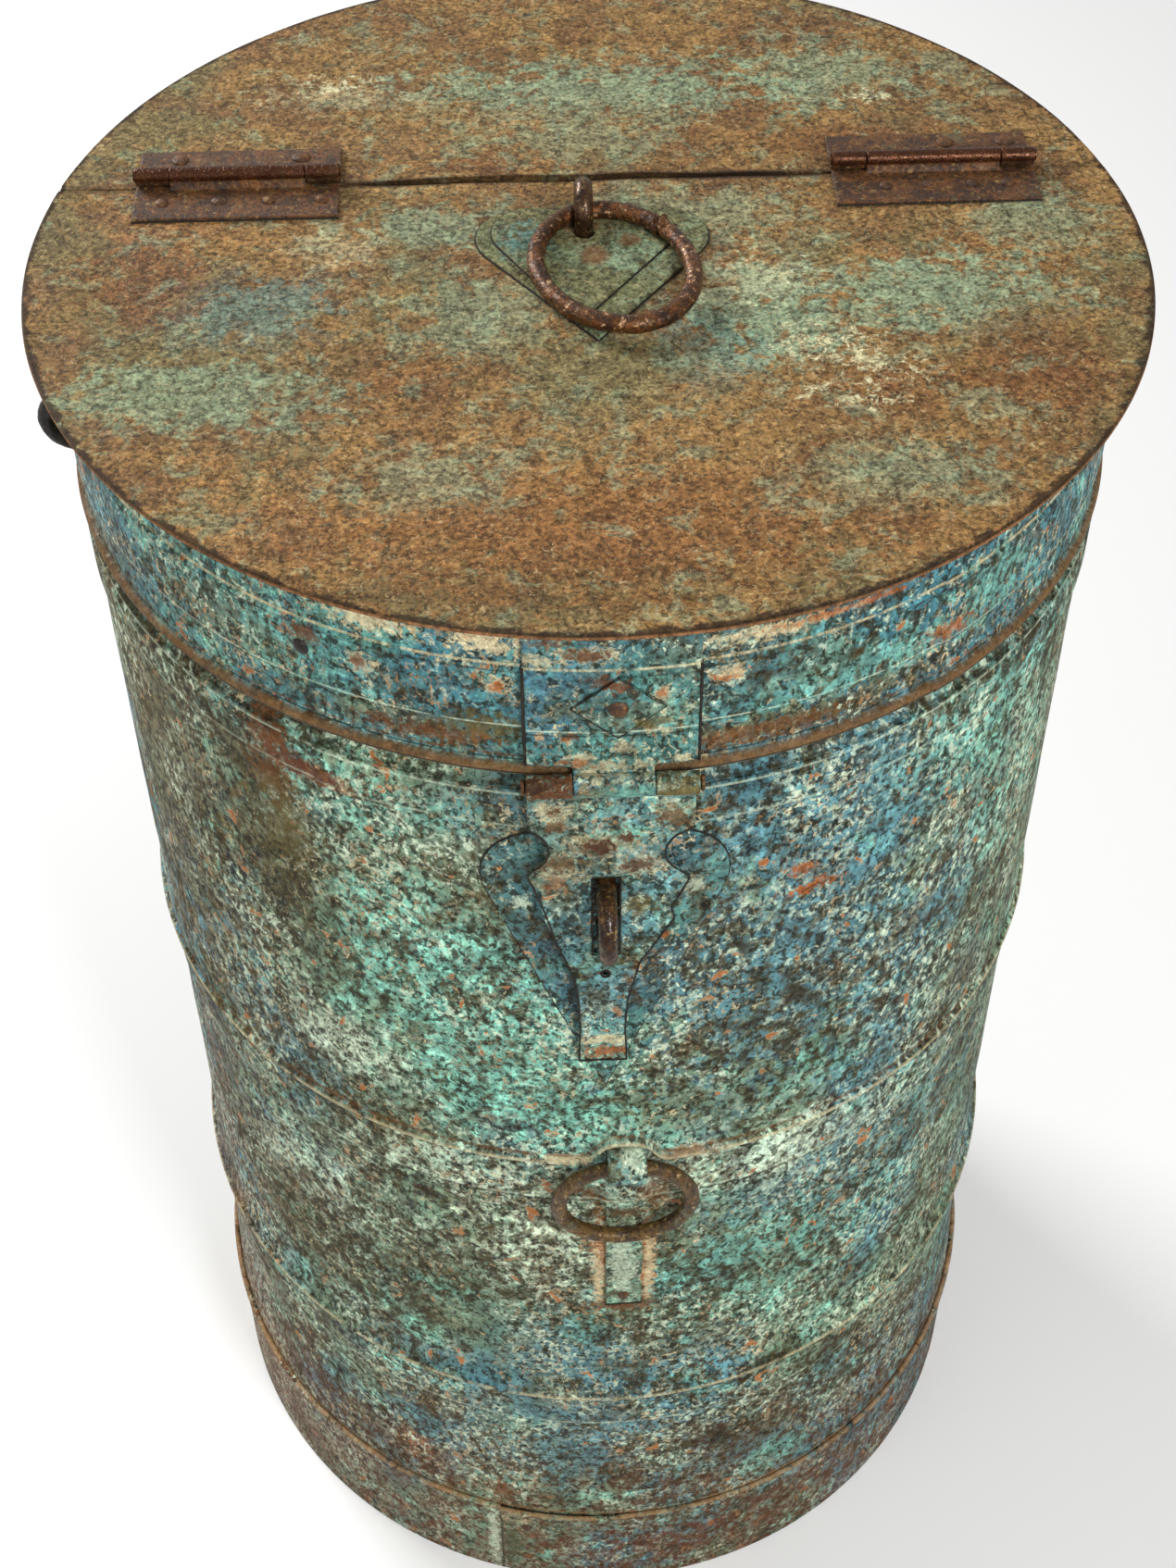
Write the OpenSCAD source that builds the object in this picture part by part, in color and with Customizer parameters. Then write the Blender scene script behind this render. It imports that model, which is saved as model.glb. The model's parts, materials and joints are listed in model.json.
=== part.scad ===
// Round sheet-iron storage barrel with a hinged half lid, a hasp and ring handles.
// Origin at the centre of the flat base, +Z up, hasp side towards -Y. Millimetres.
// Angles round the barrel count from the front, positive towards +X.

/* [Barrel] */
// Height of the lid's top face above the base
top_z = 1055; // [1050:1:1060]
// Outer radius of the lid
lid_r = 320; // [319:0.5:322]
// Outer radius of the upper course
upper_r = 303.3; // [303.2:0.1:303.4]
// Outer radius of the middle and lower courses
body_r = 300.5; // [300.4:0.1:300.6]
// Outer radius of the flared foot
foot_r = 304.5; // [304:0.1:305]
// Outer radius of the narrow neck that the skirt covers
neck_r = 297.6; // [297:0.1:297.8]
// Sheet thickness of the courses and the skirt
sheet_t = 1.3; // [1:0.1:1.4]
// Thickness of the lid and base plates
plate_t = 1.5; // [1.2:0.1:1.6]

/* [Bands] */
// Height of the base band
base_band_h = 110; // [90:1:120]
// Thickness of the base band
base_band_t = 2; // [1.5:0.1:2.5]
// Top of the flare above the foot
flare_z = 191; // [180:1:220]
// Lower edge of the lower hoop
lower_hoop_z = 247; // [240:1:255]
// Lower lip of the middle course
middle_lip_z = 288; // [286:1:290]
// Lower edge of the middle hoop
middle_hoop_z = 543; // [541:1:545]
// Lower lip of the upper course
upper_lip_z = 587; // [586:1:588]
// Lower edge of the upper hoop
upper_hoop_z = 898; // [896:1:900]
// Radius of the rolled lips' bead
lip_r = 2.2; // [1.5:0.1:2.4]

/* [Lid] */
// Distance of the split line behind the centre
split_y = 76; // [75:0.5:78]
// Gap between the flap and the fixed rear part
split_gap = 3; // [2:0.5:4]
// Radius of the lid's rolled rim
rim_r = 2.6; // [2:0.1:3]
// Outer radius of the skirt's wall
skirt_r = 303; // [302.9:0.1:303.1]
// Height of the wire in the skirt's lower edge
skirt_wire_z = 945; // [944:1:946]
// Half of the arc that the flap's skirt covers, in degrees
skirt_half = 88; // [80:1:88]
// Height of the hinge axis above the lid
hinge_rise = 8.5; // [8:0.1:9]
// Length of each butt hinge
hinge_l = 120; // [110:1:125]
// Outer radius of the hinge knuckles
knuckle_r = 5.75; // [5:0.05:6]

/* [Hasp] */
// Distance of the hasp's hinge axis in front of the centre
hasp_axis_y = 314.5; // [314:0.5:315]
// Height of the hasp's hinge axis
hasp_axis_z = 945.5; // [945:0.5:946]
// Outer radius of the hasp's knuckles
hasp_knuckle_r = 6.5; // [6:0.1:6.6]
// Thickness of the hasp's leaves
hasp_t = 2.5; // [2:0.1:2.6]

/* [Rings and staples] */
// Radius of the staples' round bar
staple_r = 5.3; // [5:0.1:5.5]
// Radius of the rings' round bar
ring_bar_r = 5.2; // [5:0.1:5.3]
// Radius of the front ring, to the middle of its bar
front_ring_r = 42.3; // [42:0.1:42.6]

/* [Hidden] */

fn_round = 96;                      // facets in the preview; the solids are true rounds
fn_small = 32;
far = 400;                          // beyond the barrel, for the shapes that cut
eps = 0.1;                          // gap between pieces that lie on each other
neck_z = [930, 938, 1044];          // joggle from the upper course to the neck, and the neck's rim
mouth_wire_r = 3;
bead_z = [975, 1018];               // raised flat bead in the skirt
bead_up = 2;                        // how far the bead stands out
skirt_wire_r = 4;
lap_z = [299, 310];                 // joggle where the middle course laps over the lower one
hoop_t = 1.3;
upper_hoop_top = 929;
hoop_bead_z = 924;                  // below this the upper hoop is thicker
hoop_bead_t = 2.3;
hem_l = 545;                        // the hem stops short of the skirt
hem_h = 12;
hinge_x = [-203.5, 207];            // middle of the left and the right hinge
hinge_pin_r = 3.2;
hinge_leaf = [34, 2];               // depth and thickness of a hinge leaf
hinge_axis = [split_y, top_z + hinge_rise];
end_knuckle = 20;
left_front_rivets = [-247, -214, -185, -154];
right_front_rivets = [177, 203, 228, 249];
left_rear_rivets = [-240, -168];
right_rear_rivets = [218, 254];
rear_rivet_y = 102;
front_rivet_y = 57;
rivet_r = 2.5;
rivet_hole_r = 2.6;
band_rivets = [[-12, 84], [-12, 34], [178, 84], [178, 34]]; // angle and height of each
hoop_rivets = [-29.9, 176];         // angles
hoop_rivet_z = 907;
rear_rivets = [110, 145, 180, 215, 250];
rear_rivet_z = 962;
heart_rivets = [[-11.6, 825], [10.6, 832]];
skirt_rivet = [-30.8, 1000];
band_lap = 15.8;                    // arc over which the base band's ends lap, in degrees
band_lap_t = 1.7;                   // how far the lap stands out
hoop_lap = [-31, -24];
hoop_lap_t = 1.3;
washer_a = 0.8;                     // angle of the diamond washer and its rivet
washer_z = 995;
heart_t = 1.5;
heart_in = upper_r + eps;
hasp_x = [-43.5, -19.4, 23.4, 46];  // left end, both joints and right end of the knuckles
hasp_pin_r = 3.1;
tip_w = 27.6;                       // width of the hasp's curled tip
slot_x = -2;                        // middle of the hasp's slot, and of the staple
slot = [15.6, 66];                  // width and height
slot_z = [803, 869];                // lower and upper end of the slot
staple_z = 843.2;                   // middle of the hasp staple
staple_arc = 19.7;                  // radius of the staple's nose, to the middle of the bar
staple_out = 319.7;                 // how far out the nose's arc begins
staple_hole_r = staple_r + 0.3;
side_a = -98.5;                     // angle of the side staple
side_z = 907;
side_arc = 17;
side_out = 326;
strap_a = 1.9;                      // angle of the front ring's strap
strap_w = 24;
strap_t = 2.5;
strap_loop_z = 599.6;               // middle of the strap's loop
strap_loop_r = 313.9;
strap_loop = [10.5, 13];            // inner and outer radius of the loop
strap_tail_z = 417;
ring_drop = 3;                      // how far the ring's bar hangs below the middle of the loop
ring_axis = [strap_loop_r, strap_loop_z - ring_drop];
ring_lean = 3.1;                    // the ring leans in at its foot, in degrees
strap_rivet_z = 428;
lid_staple_pos = [-1.5, 27];        // middle of the lid's staple
lid_staple_arc = 12.3;
lid_staple_rise = 8.2;              // straight length of its legs above the plates
oval = [42.8, 56.3];                // half width and half length of the lid ring's middle line
lid_ring_turn = 16;                 // the ring lies turned towards +X at the front
plates_top = top_z + 2 * heart_t + 2 * eps;
lid_ring_z = plates_top + ring_bar_r + 0.4;

// ---------- helpers ----------
module on_wall(a, z) {
    rotate([0, 0, a]) translate([0, 0, z]) children();
}
module drill(a, z, r) {
    on_wall(a, z) rotate([90, 0, 0]) translate([0, 0, neck_r - 20])
        cylinder(r = r, h = 40, $fn = fn_small);
}
module dome(r, h) {                 // a rivet's head, standing on z = 0
    big = (r * r + h * h) / (2 * h);
    intersection() {
        translate([0, 0, h - big]) sphere(r = big, $fn = 48);
        cylinder(r = r, h = h + 1, $fn = fn_small);
    }
}
module rivet(r, shank_r, head_h, grip) { // head on z = 0, shank down to the clinched tail
    union() {
        dome(r, head_h);
        translate([0, 0, -grip - 1.5]) cylinder(r = shank_r, h = grip + 2, $fn = fn_small);
        translate([0, 0, -grip - 2]) cylinder(r = shank_r + 1.6, h = 1.5, $fn = fn_small);
    }
}
module wall_rivet(a, z, face, r, grip) {
    on_wall(a, z) translate([0, -face, 0]) rotate([90, 0, 0]) rivet(r, rivet_r, 2.6, grip);
}
module spin(points) {
    rotate_extrude($fn = fn_round) polygon(points);
}
module ring_bead(r, z, bead_r) {    // a round bar bent into a ring round the barrel
    rotate_extrude($fn = fn_round) translate([r, z]) circle(r = bead_r, $fn = fn_small);
}
module spin_part(a0, a1) {          // turns a profile from angle a0 to a1 round the barrel
    rotate([0, 0, a0 - 90]) rotate_extrude(angle = a1 - a0, $fn = fn_round) children();
}
function arc(cx, cy, r, a0, a1, n = 10) =
    [for (i = [0:n]) let (a = a0 + (a1 - a0) * i / n) [cx + r * cos(a), cy + r * sin(a)]];
function lobe_end(dx, dy, r, side) = // angle where a line from the tip touches a lobe's circle
    atan2(dy, dx) + side * acos(r / norm([dx, dy]));
// A heart: two lobes of radius r at cx - dx and cx + dx, a flat top and a tip at (tx, ty).
module heart(cx, dx, top, r, tx, ty) {
    cy = top - r;
    polygon(concat(
        arc(cx + dx, cy, r, lobe_end(tx - cx - dx, ty - cy, r, 1), 90),
        arc(cx - dx, cy, r, 90, 360 + lobe_end(tx - cx + dx, ty - cy, r, -1)),
        [[tx, ty]]));
}

// ---------- shell ----------
module bottom_plate() {
    color("#5b4334") union() {
        cylinder(r = foot_r - sheet_t - eps, h = plate_t, $fn = fn_round);
        spin([[foot_r - sheet_t - plate_t - eps, 0], [foot_r - sheet_t - eps, 0],
            [foot_r - sheet_t - eps, 15], [foot_r - sheet_t - plate_t - eps, 15]]);
    }
}
module lower_course() {
    in = sheet_t;
    color("#4f7f78") difference() {
        spin([[foot_r, 0], [foot_r, base_band_h], [body_r, flare_z], [body_r, lap_z[0]],
            [body_r - in, lap_z[0]], [body_r - in, flare_z], [foot_r - in, base_band_h],
            [foot_r - in, 0]]);
        for (r = band_rivets) drill(r[0], r[1], rivet_hole_r);
    }
}
module middle_course() {
    lap_r = body_r + hoop_t + eps * 2 + sheet_t;
    color("#4c8a84") difference() {
        union() {
            spin([[lap_r, middle_lip_z], [lap_r, lap_z[0]], [body_r, lap_z[1]],
                [body_r, upper_lip_z + 18], [body_r - sheet_t, upper_lip_z + 18],
                [body_r - sheet_t, lap_z[1]], [lap_r - sheet_t, lap_z[0]],
                [lap_r - sheet_t, middle_lip_z]]);
            ring_bead(lap_r - sheet_t + lip_r, middle_lip_z + lip_r, lip_r);
        }
        drill(strap_a, strap_rivet_z, rivet_hole_r);
    }
}
module upper_course() {
    color("#4e8f8c") difference() {
        union() {
            spin([[upper_r, upper_lip_z], [upper_r, neck_z[0]], [neck_r, neck_z[1]],
                [neck_r, neck_z[2]], [neck_r - sheet_t, neck_z[2]], [neck_r - sheet_t, neck_z[1]],
                [upper_r - sheet_t, neck_z[0]], [upper_r - sheet_t, upper_lip_z]]);
            ring_bead(upper_r - sheet_t + lip_r, upper_lip_z + lip_r, lip_r);
        }
        on_wall(strap_a, strap_loop_z)          // notch for the ring strap's loop
            translate([-strap_w / 2 - 1.2, -upper_r - 10, -30])
            cube([strap_w + 2.4, 20, 30 + strap_loop[1] + 3]);
        staple_holes();
        for (r = heart_rivets) drill(r[0], r[1], rivet_hole_r);
        for (a = rear_rivets) drill(a, rear_rivet_z, rivet_hole_r);
        for (a = hoop_rivets) drill(a, hoop_rivet_z, rivet_hole_r);
    }
}
module mouth_wire() {
    r = mouth_wire_r;
    color("#4a3a30") ring_bead(neck_r - sheet_t - r - eps, neck_z[2] - r, r);
}

// ---------- bands and hoops ----------
module base_band() {
    r = foot_r + eps;
    color("#3f5d57") difference() {
        union() {
            spin([[r, 1], [r + base_band_t, 1], [r + base_band_t, base_band_h], [r, base_band_h]]);
            ring_bead(r + lip_r, base_band_h - lip_r, lip_r);
            spin_part(-band_lap, 0)                // the band's end laps over its start
                translate([r + base_band_t - 0.5, 1]) square([band_lap_t + 0.5, base_band_h - 6]);
        }
        for (b = band_rivets) drill(b[0], b[1], rivet_hole_r);
    }
}
module base_band_rivets() {
    face = foot_r + base_band_t + eps * 2;
    grip = base_band_t + sheet_t + eps * 3;
    color("#4a3a30") for (b = band_rivets) let (lap = b[0] < 0 ? band_lap_t : 0)
        wall_rivet(b[0], b[1], face + lap, 4.5, grip + lap);
}
module lower_hoop() {
    color("#47766f")
        spin([[body_r + eps, lower_hoop_z], [body_r + eps + hoop_t, lower_hoop_z],
            [body_r + eps + hoop_t, lap_z[0] - 3], [body_r + eps, lap_z[0] - 3]]);
}
module middle_hoop() {
    out = body_r + eps + hoop_t;
    half = strap_w / 2 + 1.4;          // the bridge over the strap's tail, inside
    side = half + hoop_t;
    rise = 3.6;
    color("#4a7f79") difference() {
        union() {
            spin([[body_r + eps, middle_hoop_z], [out, middle_hoop_z],
                [out, upper_lip_z + 13], [body_r + eps, upper_lip_z + 13]]);
            on_wall(strap_a, middle_hoop_z) translate([-side, -out - rise, 0])
                cube([2 * side, 6, upper_lip_z - middle_hoop_z - 4]);
        }
        on_wall(strap_a, middle_hoop_z)          // the strap's tail runs through here
            translate([-half, -out - rise + 1.4, -1]) cube([2 * half, 8, 46]);
        on_wall(strap_a, upper_lip_z - 4)
            translate([-side - 1, -out - rise - 1, 0]) cube([2 * side + 2, 10, 40]);
        cylinder(r = body_r + eps, h = top_z, $fn = fn_round);
    }
}
module upper_hoop() {
    r = upper_r + eps;
    color("#5a9a95") difference() {
        union() {
            spin([[r, upper_hoop_z], [r + hoop_bead_t, upper_hoop_z], [r + hoop_bead_t, hoop_bead_z - 1.5],
                [r + hoop_t, hoop_bead_z], [r + hoop_t, upper_hoop_top], [r, upper_hoop_top]]);
            spin_part(hoop_lap[0], hoop_lap[1])
                translate([r + 1, upper_hoop_z + 1])
                square([hoop_bead_t - 1 + hoop_lap_t, upper_hoop_top - upper_hoop_z - 2]);
        }
        for (a = hoop_rivets) drill(a, hoop_rivet_z, rivet_hole_r);
        for (s = [-1, 1]) drill(side_a, side_z + s * side_arc, staple_hole_r);
    }
}
module upper_hoop_rivets() {
    color("#3c322b") for (a = hoop_rivets) let (t = hoop_bead_t + (a < 0 ? hoop_lap_t : 0) + eps)
        wall_rivet(a, hoop_rivet_z, upper_r + eps + t, 4.5, sheet_t + eps * 2 + t);
}

// ---------- fixed rear part of the top ----------
module disc(front) {                // the lid's plate and rolled rim, in front of or behind the split
    difference() {
        union() {
            translate([0, 0, top_z - plate_t]) cylinder(r = lid_r - rim_r, h = plate_t, $fn = fn_round);
            ring_bead(lid_r - rim_r, top_z - rim_r, rim_r);
        }
        if (front)
            translate([-far, split_y - split_gap / 2, top_z - 20]) cube([2 * far, far, 40]);
        else
            translate([-far, split_y + split_gap / 2 - 2 * far, top_z - 20]) cube([2 * far, 2 * far, 40]);
    }
}
module hem(y) {                     // the split edge is folded down
    translate([-hem_l / 2, y, top_z - hem_h]) cube([hem_l, plate_t, hem_h - plate_t / 2]);
}
module top_drills(xs, y) {
    for (x = xs) translate([x, y, top_z - 6]) cylinder(r = rivet_hole_r, h = 12, $fn = fn_small);
}
module rear_top_plate() {
    color("#8a7448") difference() {
        union() {
            disc(false);
            hem(split_y + split_gap / 2);
        }
        top_drills(concat(left_rear_rivets, right_rear_rivets), rear_rivet_y);
    }
}
module skirt(a0, a1) {              // wall, top flange and the wired lower edge
    r = skirt_r;
    t = sheet_t;
    z = top_z - plate_t - eps;
    union() {
        spin_part(a0, a1) polygon([[r, z], [r, bead_z[1] + 1], [r + bead_up, bead_z[1] - 1],
            [r + bead_up, bead_z[0] + 1], [r, bead_z[0] - 1], [r, skirt_wire_z], [r - t, skirt_wire_z],
            [r - t, bead_z[0] - 0.5], [r - t + bead_up, bead_z[0] + 1.5],
            [r - t + bead_up, bead_z[1] - 1.5], [r - t, bead_z[1] + 0.5], [r - t, z - t],
            [r - 18, z - t], [r - 18, z]]);
        spin_part(a0, a1) translate([r - 0.4, skirt_wire_z]) circle(r = skirt_wire_r, $fn = fn_small);
    }
}
module rear_skirt() {
    color("#4c8884") difference() {
        skirt(skirt_half + 2, 358 - skirt_half);
        for (a = rear_rivets) drill(a, rear_rivet_z, rivet_hole_r);
    }
}
module rear_skirt_rivets() {
    color("#4a3a30") for (a = rear_rivets)
        wall_rivet(a, rear_rivet_z, skirt_r + eps, 4.5, skirt_r - neck_r + sheet_t + eps * 2);
}

// ---------- butt hinges ----------
module hinge_leaf(i, rear) {
    s = rear ? 1 : -1;
    len = hinge_l;
    mid = len - 2 * end_knuckle;
    bore = hinge_pin_r + 0.06;
    runs = rear ? [[-len / 2, end_knuckle], [len / 2 - end_knuckle, end_knuckle]]
        : [[-mid / 2 + 0.4, mid - 0.8]];
    xs = rear ? (i == 0 ? left_rear_rivets : right_rear_rivets)
        : (i == 0 ? left_front_rivets : right_front_rivets);
    difference() {
        union() {
            translate([hinge_x[i] - len / 2, split_y + (rear ? 1.6 : -1.6 - hinge_leaf[0]), top_z + eps])
                cube([len, hinge_leaf[0], hinge_leaf[1]]);
            for (k = runs) {
                translate([hinge_x[i] + k[0], hinge_axis[0], hinge_axis[1]]) rotate([0, 90, 0])
                    cylinder(r = knuckle_r, h = k[1], $fn = fn_small);
                translate([hinge_x[i] + k[0], split_y + (rear ? 1.6 : -5.5), top_z + eps])
                    cube([k[1], 3.9, hinge_rise - 2]);
            }
        }
        translate([hinge_x[i] - len, hinge_axis[0], hinge_axis[1]]) rotate([0, 90, 0])
            cylinder(r = bore, h = 2 * len, $fn = fn_small);
        top_drills(xs, rear ? rear_rivet_y : front_rivet_y);
    }
}
module hinge_pin(i) {
    color("#3a2f28") translate([hinge_x[i] - hinge_l / 2 - 1, hinge_axis[0], hinge_axis[1]])
        rotate([0, 90, 0]) cylinder(r = hinge_pin_r, h = hinge_l + 2, $fn = fn_small);
}
module top_rivets(xs, y, r) {
    color("#3a2f28") for (x = xs)
        translate([x, y, top_z + hinge_leaf[1] + eps * 2])
            rivet(r, rivet_r, 2, hinge_leaf[1] + plate_t + eps * 3);
}
module left_hinge_rear_leaf() { color("#4a3628") hinge_leaf(0, true); }
module right_hinge_rear_leaf() { color("#4a3628") hinge_leaf(1, true); }
module left_hinge_front_leaf() { color("#4a3628") hinge_leaf(0, false); }
module right_hinge_front_leaf() { color("#4a3628") hinge_leaf(1, false); }
module left_hinge_pin() { hinge_pin(0); }
module right_hinge_pin() { hinge_pin(1); }
module left_rear_leaf_rivets() { top_rivets(left_rear_rivets, rear_rivet_y, 5.5); }
module right_rear_leaf_rivets() { top_rivets(right_rear_rivets, rear_rivet_y, 5.5); }
module left_front_leaf_rivets() { top_rivets(left_front_rivets, front_rivet_y, 4.2); }
module right_front_leaf_rivets() { top_rivets(right_front_rivets, front_rivet_y, 4.2); }

// ---------- staples ----------
// A bent rod: nose arc of radius arc_r at height out, legs down to z = 0, tails bent apart below.
module u_staple(arc_r, out, wall, tail) {
    bend = staple_r + 1.2;
    union() {
        translate([0, 0, out]) rotate([90, 0, 0]) rotate_extrude(angle = 180, $fn = fn_round)
            translate([arc_r, 0]) circle(r = staple_r, $fn = fn_small);
        for (s = [-1, 1]) {
            translate([s * arc_r, 0, wall - bend])
                cylinder(r = staple_r, h = out - wall + bend, $fn = fn_small);
            translate([s * (arc_r + bend), 0, wall - bend]) rotate([90, 0, s < 0 ? 0 : 180])
                rotate_extrude(angle = -90, $fn = fn_small)
                    translate([bend, 0]) circle(r = staple_r, $fn = fn_small);
            translate([s * (arc_r + bend), 0, wall - 2 * bend]) rotate([0, s * 90, 0])
                cylinder(r = staple_r, h = tail, $fn = fn_small);
        }
    }
}
module staple_holes() {
    for (s = [-1, 1]) {
        translate([slot_x, -neck_r, staple_z + s * staple_arc]) rotate([90, 0, 0])
            translate([0, 0, -20]) cylinder(r = staple_hole_r, h = 40, $fn = fn_small);
        drill(side_a, side_z + s * side_arc, staple_hole_r);
    }
}
module hasp_staple() {
    color("#4a2c1e") translate([slot_x, 0, staple_z]) rotate([90, 0, 0]) rotate([0, 0, 90])
        u_staple(staple_arc, staple_out, upper_r - sheet_t - staple_r - 1, 14);
}
module side_staple() {
    color("#241a16") on_wall(side_a, side_z) rotate([90, 0, 0]) rotate([0, 0, 90])
        u_staple(side_arc, side_out, upper_r - sheet_t - staple_r - 1, 12);
}
module lid_staple_drills() {
    for (s = [-1, 1]) translate([lid_staple_pos[0], lid_staple_pos[1] + s * lid_staple_arc, top_z - 10])
        cylinder(r = staple_hole_r, h = 30, $fn = fn_small);
}
module lid_staple() {
    color("#4a2c22") translate([lid_staple_pos[0], lid_staple_pos[1], 0]) rotate([0, 0, 90])
        u_staple(lid_staple_arc, plates_top + lid_staple_rise, top_z - plate_t - staple_r - 1, 8);
}

// ---------- front heart plate, strap and ring ----------
module hasp_heart_plate() {
    color("#56857f") difference() {
        intersection() {
            spin([[heart_in, 600], [heart_in + heart_t, 600], [heart_in + heart_t, 900], [heart_in, 900]]);
            rotate([90, 0, 0]) linear_extrude(far) heart(slot_x, 30, 897, 38, slot_x, 672);
        }
        staple_holes();
        for (r = heart_rivets) drill(r[0], r[1], rivet_hole_r);
    }
}
module hasp_heart_rivets() {
    color("#6fa39c") for (r = heart_rivets)
        wall_rivet(r[0], r[1], heart_in + heart_t + eps, 4.6, heart_t + sheet_t + eps * 3);
}
module front_ring_strap() {
    back = body_r + 0.4;
    color("#5d8d86") difference() {
        on_wall(strap_a, 0) translate([strap_w / 2, 0, 0]) rotate([0, -90, 0])
            linear_extrude(strap_w) union() {
                difference() {
                    translate([strap_loop_z, -strap_loop_r]) circle(r = strap_loop[1], $fn = 48);
                    translate([strap_loop_z, -strap_loop_r]) circle(r = strap_loop[0], $fn = 48);
                }
                translate([strap_tail_z, -back - strap_t])
                    square([strap_loop_z - strap_tail_z, strap_t]);
            }
        drill(strap_a, strap_rivet_z, rivet_hole_r);
    }
}
module front_strap_rivet() {
    color("#3a2f28") on_wall(strap_a, strap_rivet_z) translate([0, -body_r - 0.5 - strap_t, 0])
        rotate([90, 0, 0]) rivet(4, rivet_r, 2.2, 0.6 + strap_t + sheet_t);
}
module front_ring() {
    color("#3f3029") on_wall(strap_a, 0) translate([0, -ring_axis[0], ring_axis[1]])
        rotate([ring_lean, 0, 0]) translate([0, 0, -front_ring_r]) rotate([90, 0, 0])
        rotate_extrude($fn = fn_round) translate([front_ring_r, 0]) circle(r = ring_bar_r, $fn = fn_small);
}

// ---------- flap ----------
module lid_flap() {
    color("#8d7347") difference() {
        union() {
            disc(true);
            hem(split_y - split_gap / 2 - plate_t);
        }
        top_drills(concat(left_front_rivets, right_front_rivets), front_rivet_y);
        lid_staple_drills();
    }
}
module lid_skirt() {
    color("#4f8f8c") difference() {
        skirt(-skirt_half, skirt_half);
        drill(washer_a, washer_z, rivet_hole_r);
        drill(skirt_rivet[0], skirt_rivet[1], rivet_hole_r);
    }
}
module lid_skirt_rivet() {
    color("#3c322b") wall_rivet(skirt_rivet[0], skirt_rivet[1], skirt_r + bead_up + eps,
        5, sheet_t + eps * 2);
}
module lid_heart_plate() {
    color("#7a6d45") difference() {
        translate([0, 0, top_z + eps]) linear_extrude(heart_t) heart(3, 38, 43, 29, 3, -85);
        lid_staple_drills();
    }
}
module lid_inner_plate() {
    color("#6c8a78") difference() {
        translate([0, 0, top_z + heart_t + 2 * eps]) linear_extrude(heart_t)
            heart(-2, 28, 42, 25, -7, -71);
        lid_staple_drills();
    }
}
module lid_ring() {
    n = 48;                         // rings of the sweep
    m = 12;                         // sides of the bar
    function centre(t) = [oval[0] * cos(t), oval[1] * sin(t) - oval[1], 0];
    function outward(t) = let (v = [oval[1] * cos(t), oval[0] * sin(t), 0]) v / norm(v);
    points = [for (i = [0:n - 1], j = [0:m - 1]) let (t = 360 * i / n, u = 360 * j / m)
        centre(t) + ring_bar_r * (cos(u) * outward(t) + sin(u) * [0, 0, 1])];
    faces = [for (i = [0:n - 1], j = [0:m - 1]) let (k = (i + 1) % n, l = (j + 1) % m)
        [i * m + j, i * m + l, k * m + l, k * m + j]];
    color("#7c4a30") translate([lid_staple_pos[0], lid_staple_pos[1], lid_ring_z])
        rotate([0, 0, lid_ring_turn]) polyhedron(points, faces);
}

// ---------- hasp ----------
module hasp_knuckle(x0, x1) {
    translate([x0, -hasp_axis_y, hasp_axis_z]) rotate([0, 90, 0])
        cylinder(r = hasp_knuckle_r, h = x1 - x0, $fn = fn_small);
}
module hasp_bore() {
    translate([-60, -hasp_axis_y, hasp_axis_z]) rotate([0, 90, 0])
        cylinder(r = hasp_pin_r + 0.07, h = 120, $fn = fn_small);
}
module hasp_upper_leaf() {
    r = skirt_r + eps;
    t = hasp_t;
    foot = skirt_r + skirt_wire_r;
    color("#4f8f90") difference() {
        union() {
            intersection() {
                spin([[r, 1046], [r + t, 1046], [r + t, bead_z[1] + 1], [r + t + bead_up, bead_z[1] - 1],
                    [r + t + bead_up, bead_z[0] + 1], [foot + t, bead_z[0] - 8], [foot + t, 953.5],
                    [foot, 953.5], [foot, bead_z[0] - 8], [r + bead_up, bead_z[0] + 1],
                    [r + bead_up, bead_z[1] - 1], [r, bead_z[1] + 1]]);
                translate([hasp_x[0], -far, 900]) cube([hasp_x[3] - hasp_x[0], far, 200]);
            }
            difference() {
                translate([hasp_x[1] + 0.3, -foot - t - 0.6, hasp_axis_z])
                    cube([hasp_x[2] - hasp_x[1] - 0.6, t, 12]);
                cylinder(r = foot, h = top_z, $fn = fn_round);
            }
            hasp_knuckle(hasp_x[1] + 0.3, hasp_x[2] - 0.3);
        }
        hasp_bore();
        drill(washer_a, washer_z, rivet_hole_r);
    }
}
module hasp_diamond_washer() {
    r = skirt_r + bead_up + hasp_t + 2 * eps;
    color("#4c8487") difference() {
        intersection() {
            spin([[r, 960], [r + 1.5, 960], [r + 1.5, 1030], [r, 1030]]);
            translate([r * sin(washer_a), 0, washer_z]) rotate([90, 0, 0]) linear_extrude(far)
                polygon([[-24, 0], [0, -21], [24, 0], [0, 21]]);
        }
        drill(washer_a, washer_z, rivet_hole_r);
    }
}
module hasp_rivet() {
    face = skirt_r + bead_up + hasp_t + 1.5 + 3 * eps;
    color("#6d5a48") wall_rivet(washer_a, washer_z, face, 5.5, face - skirt_r - bead_up + sheet_t + eps);
}
module hasp_pin() {
    color("#3a2f28") translate([hasp_x[0] - 1.2, -hasp_axis_y, hasp_axis_z]) rotate([0, 90, 0])
        union() {
            cylinder(r = hasp_pin_r, h = hasp_x[3] - hasp_x[0] + 2.4, $fn = fn_small);
            translate([0, 0, -1.5]) cylinder(r = 4.4, h = 2, $fn = fn_small);
            translate([0, 0, hasp_x[3] - hasp_x[0] + 1.9]) cylinder(r = 4.4, h = 2, $fn = fn_small);
        }
}
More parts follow.
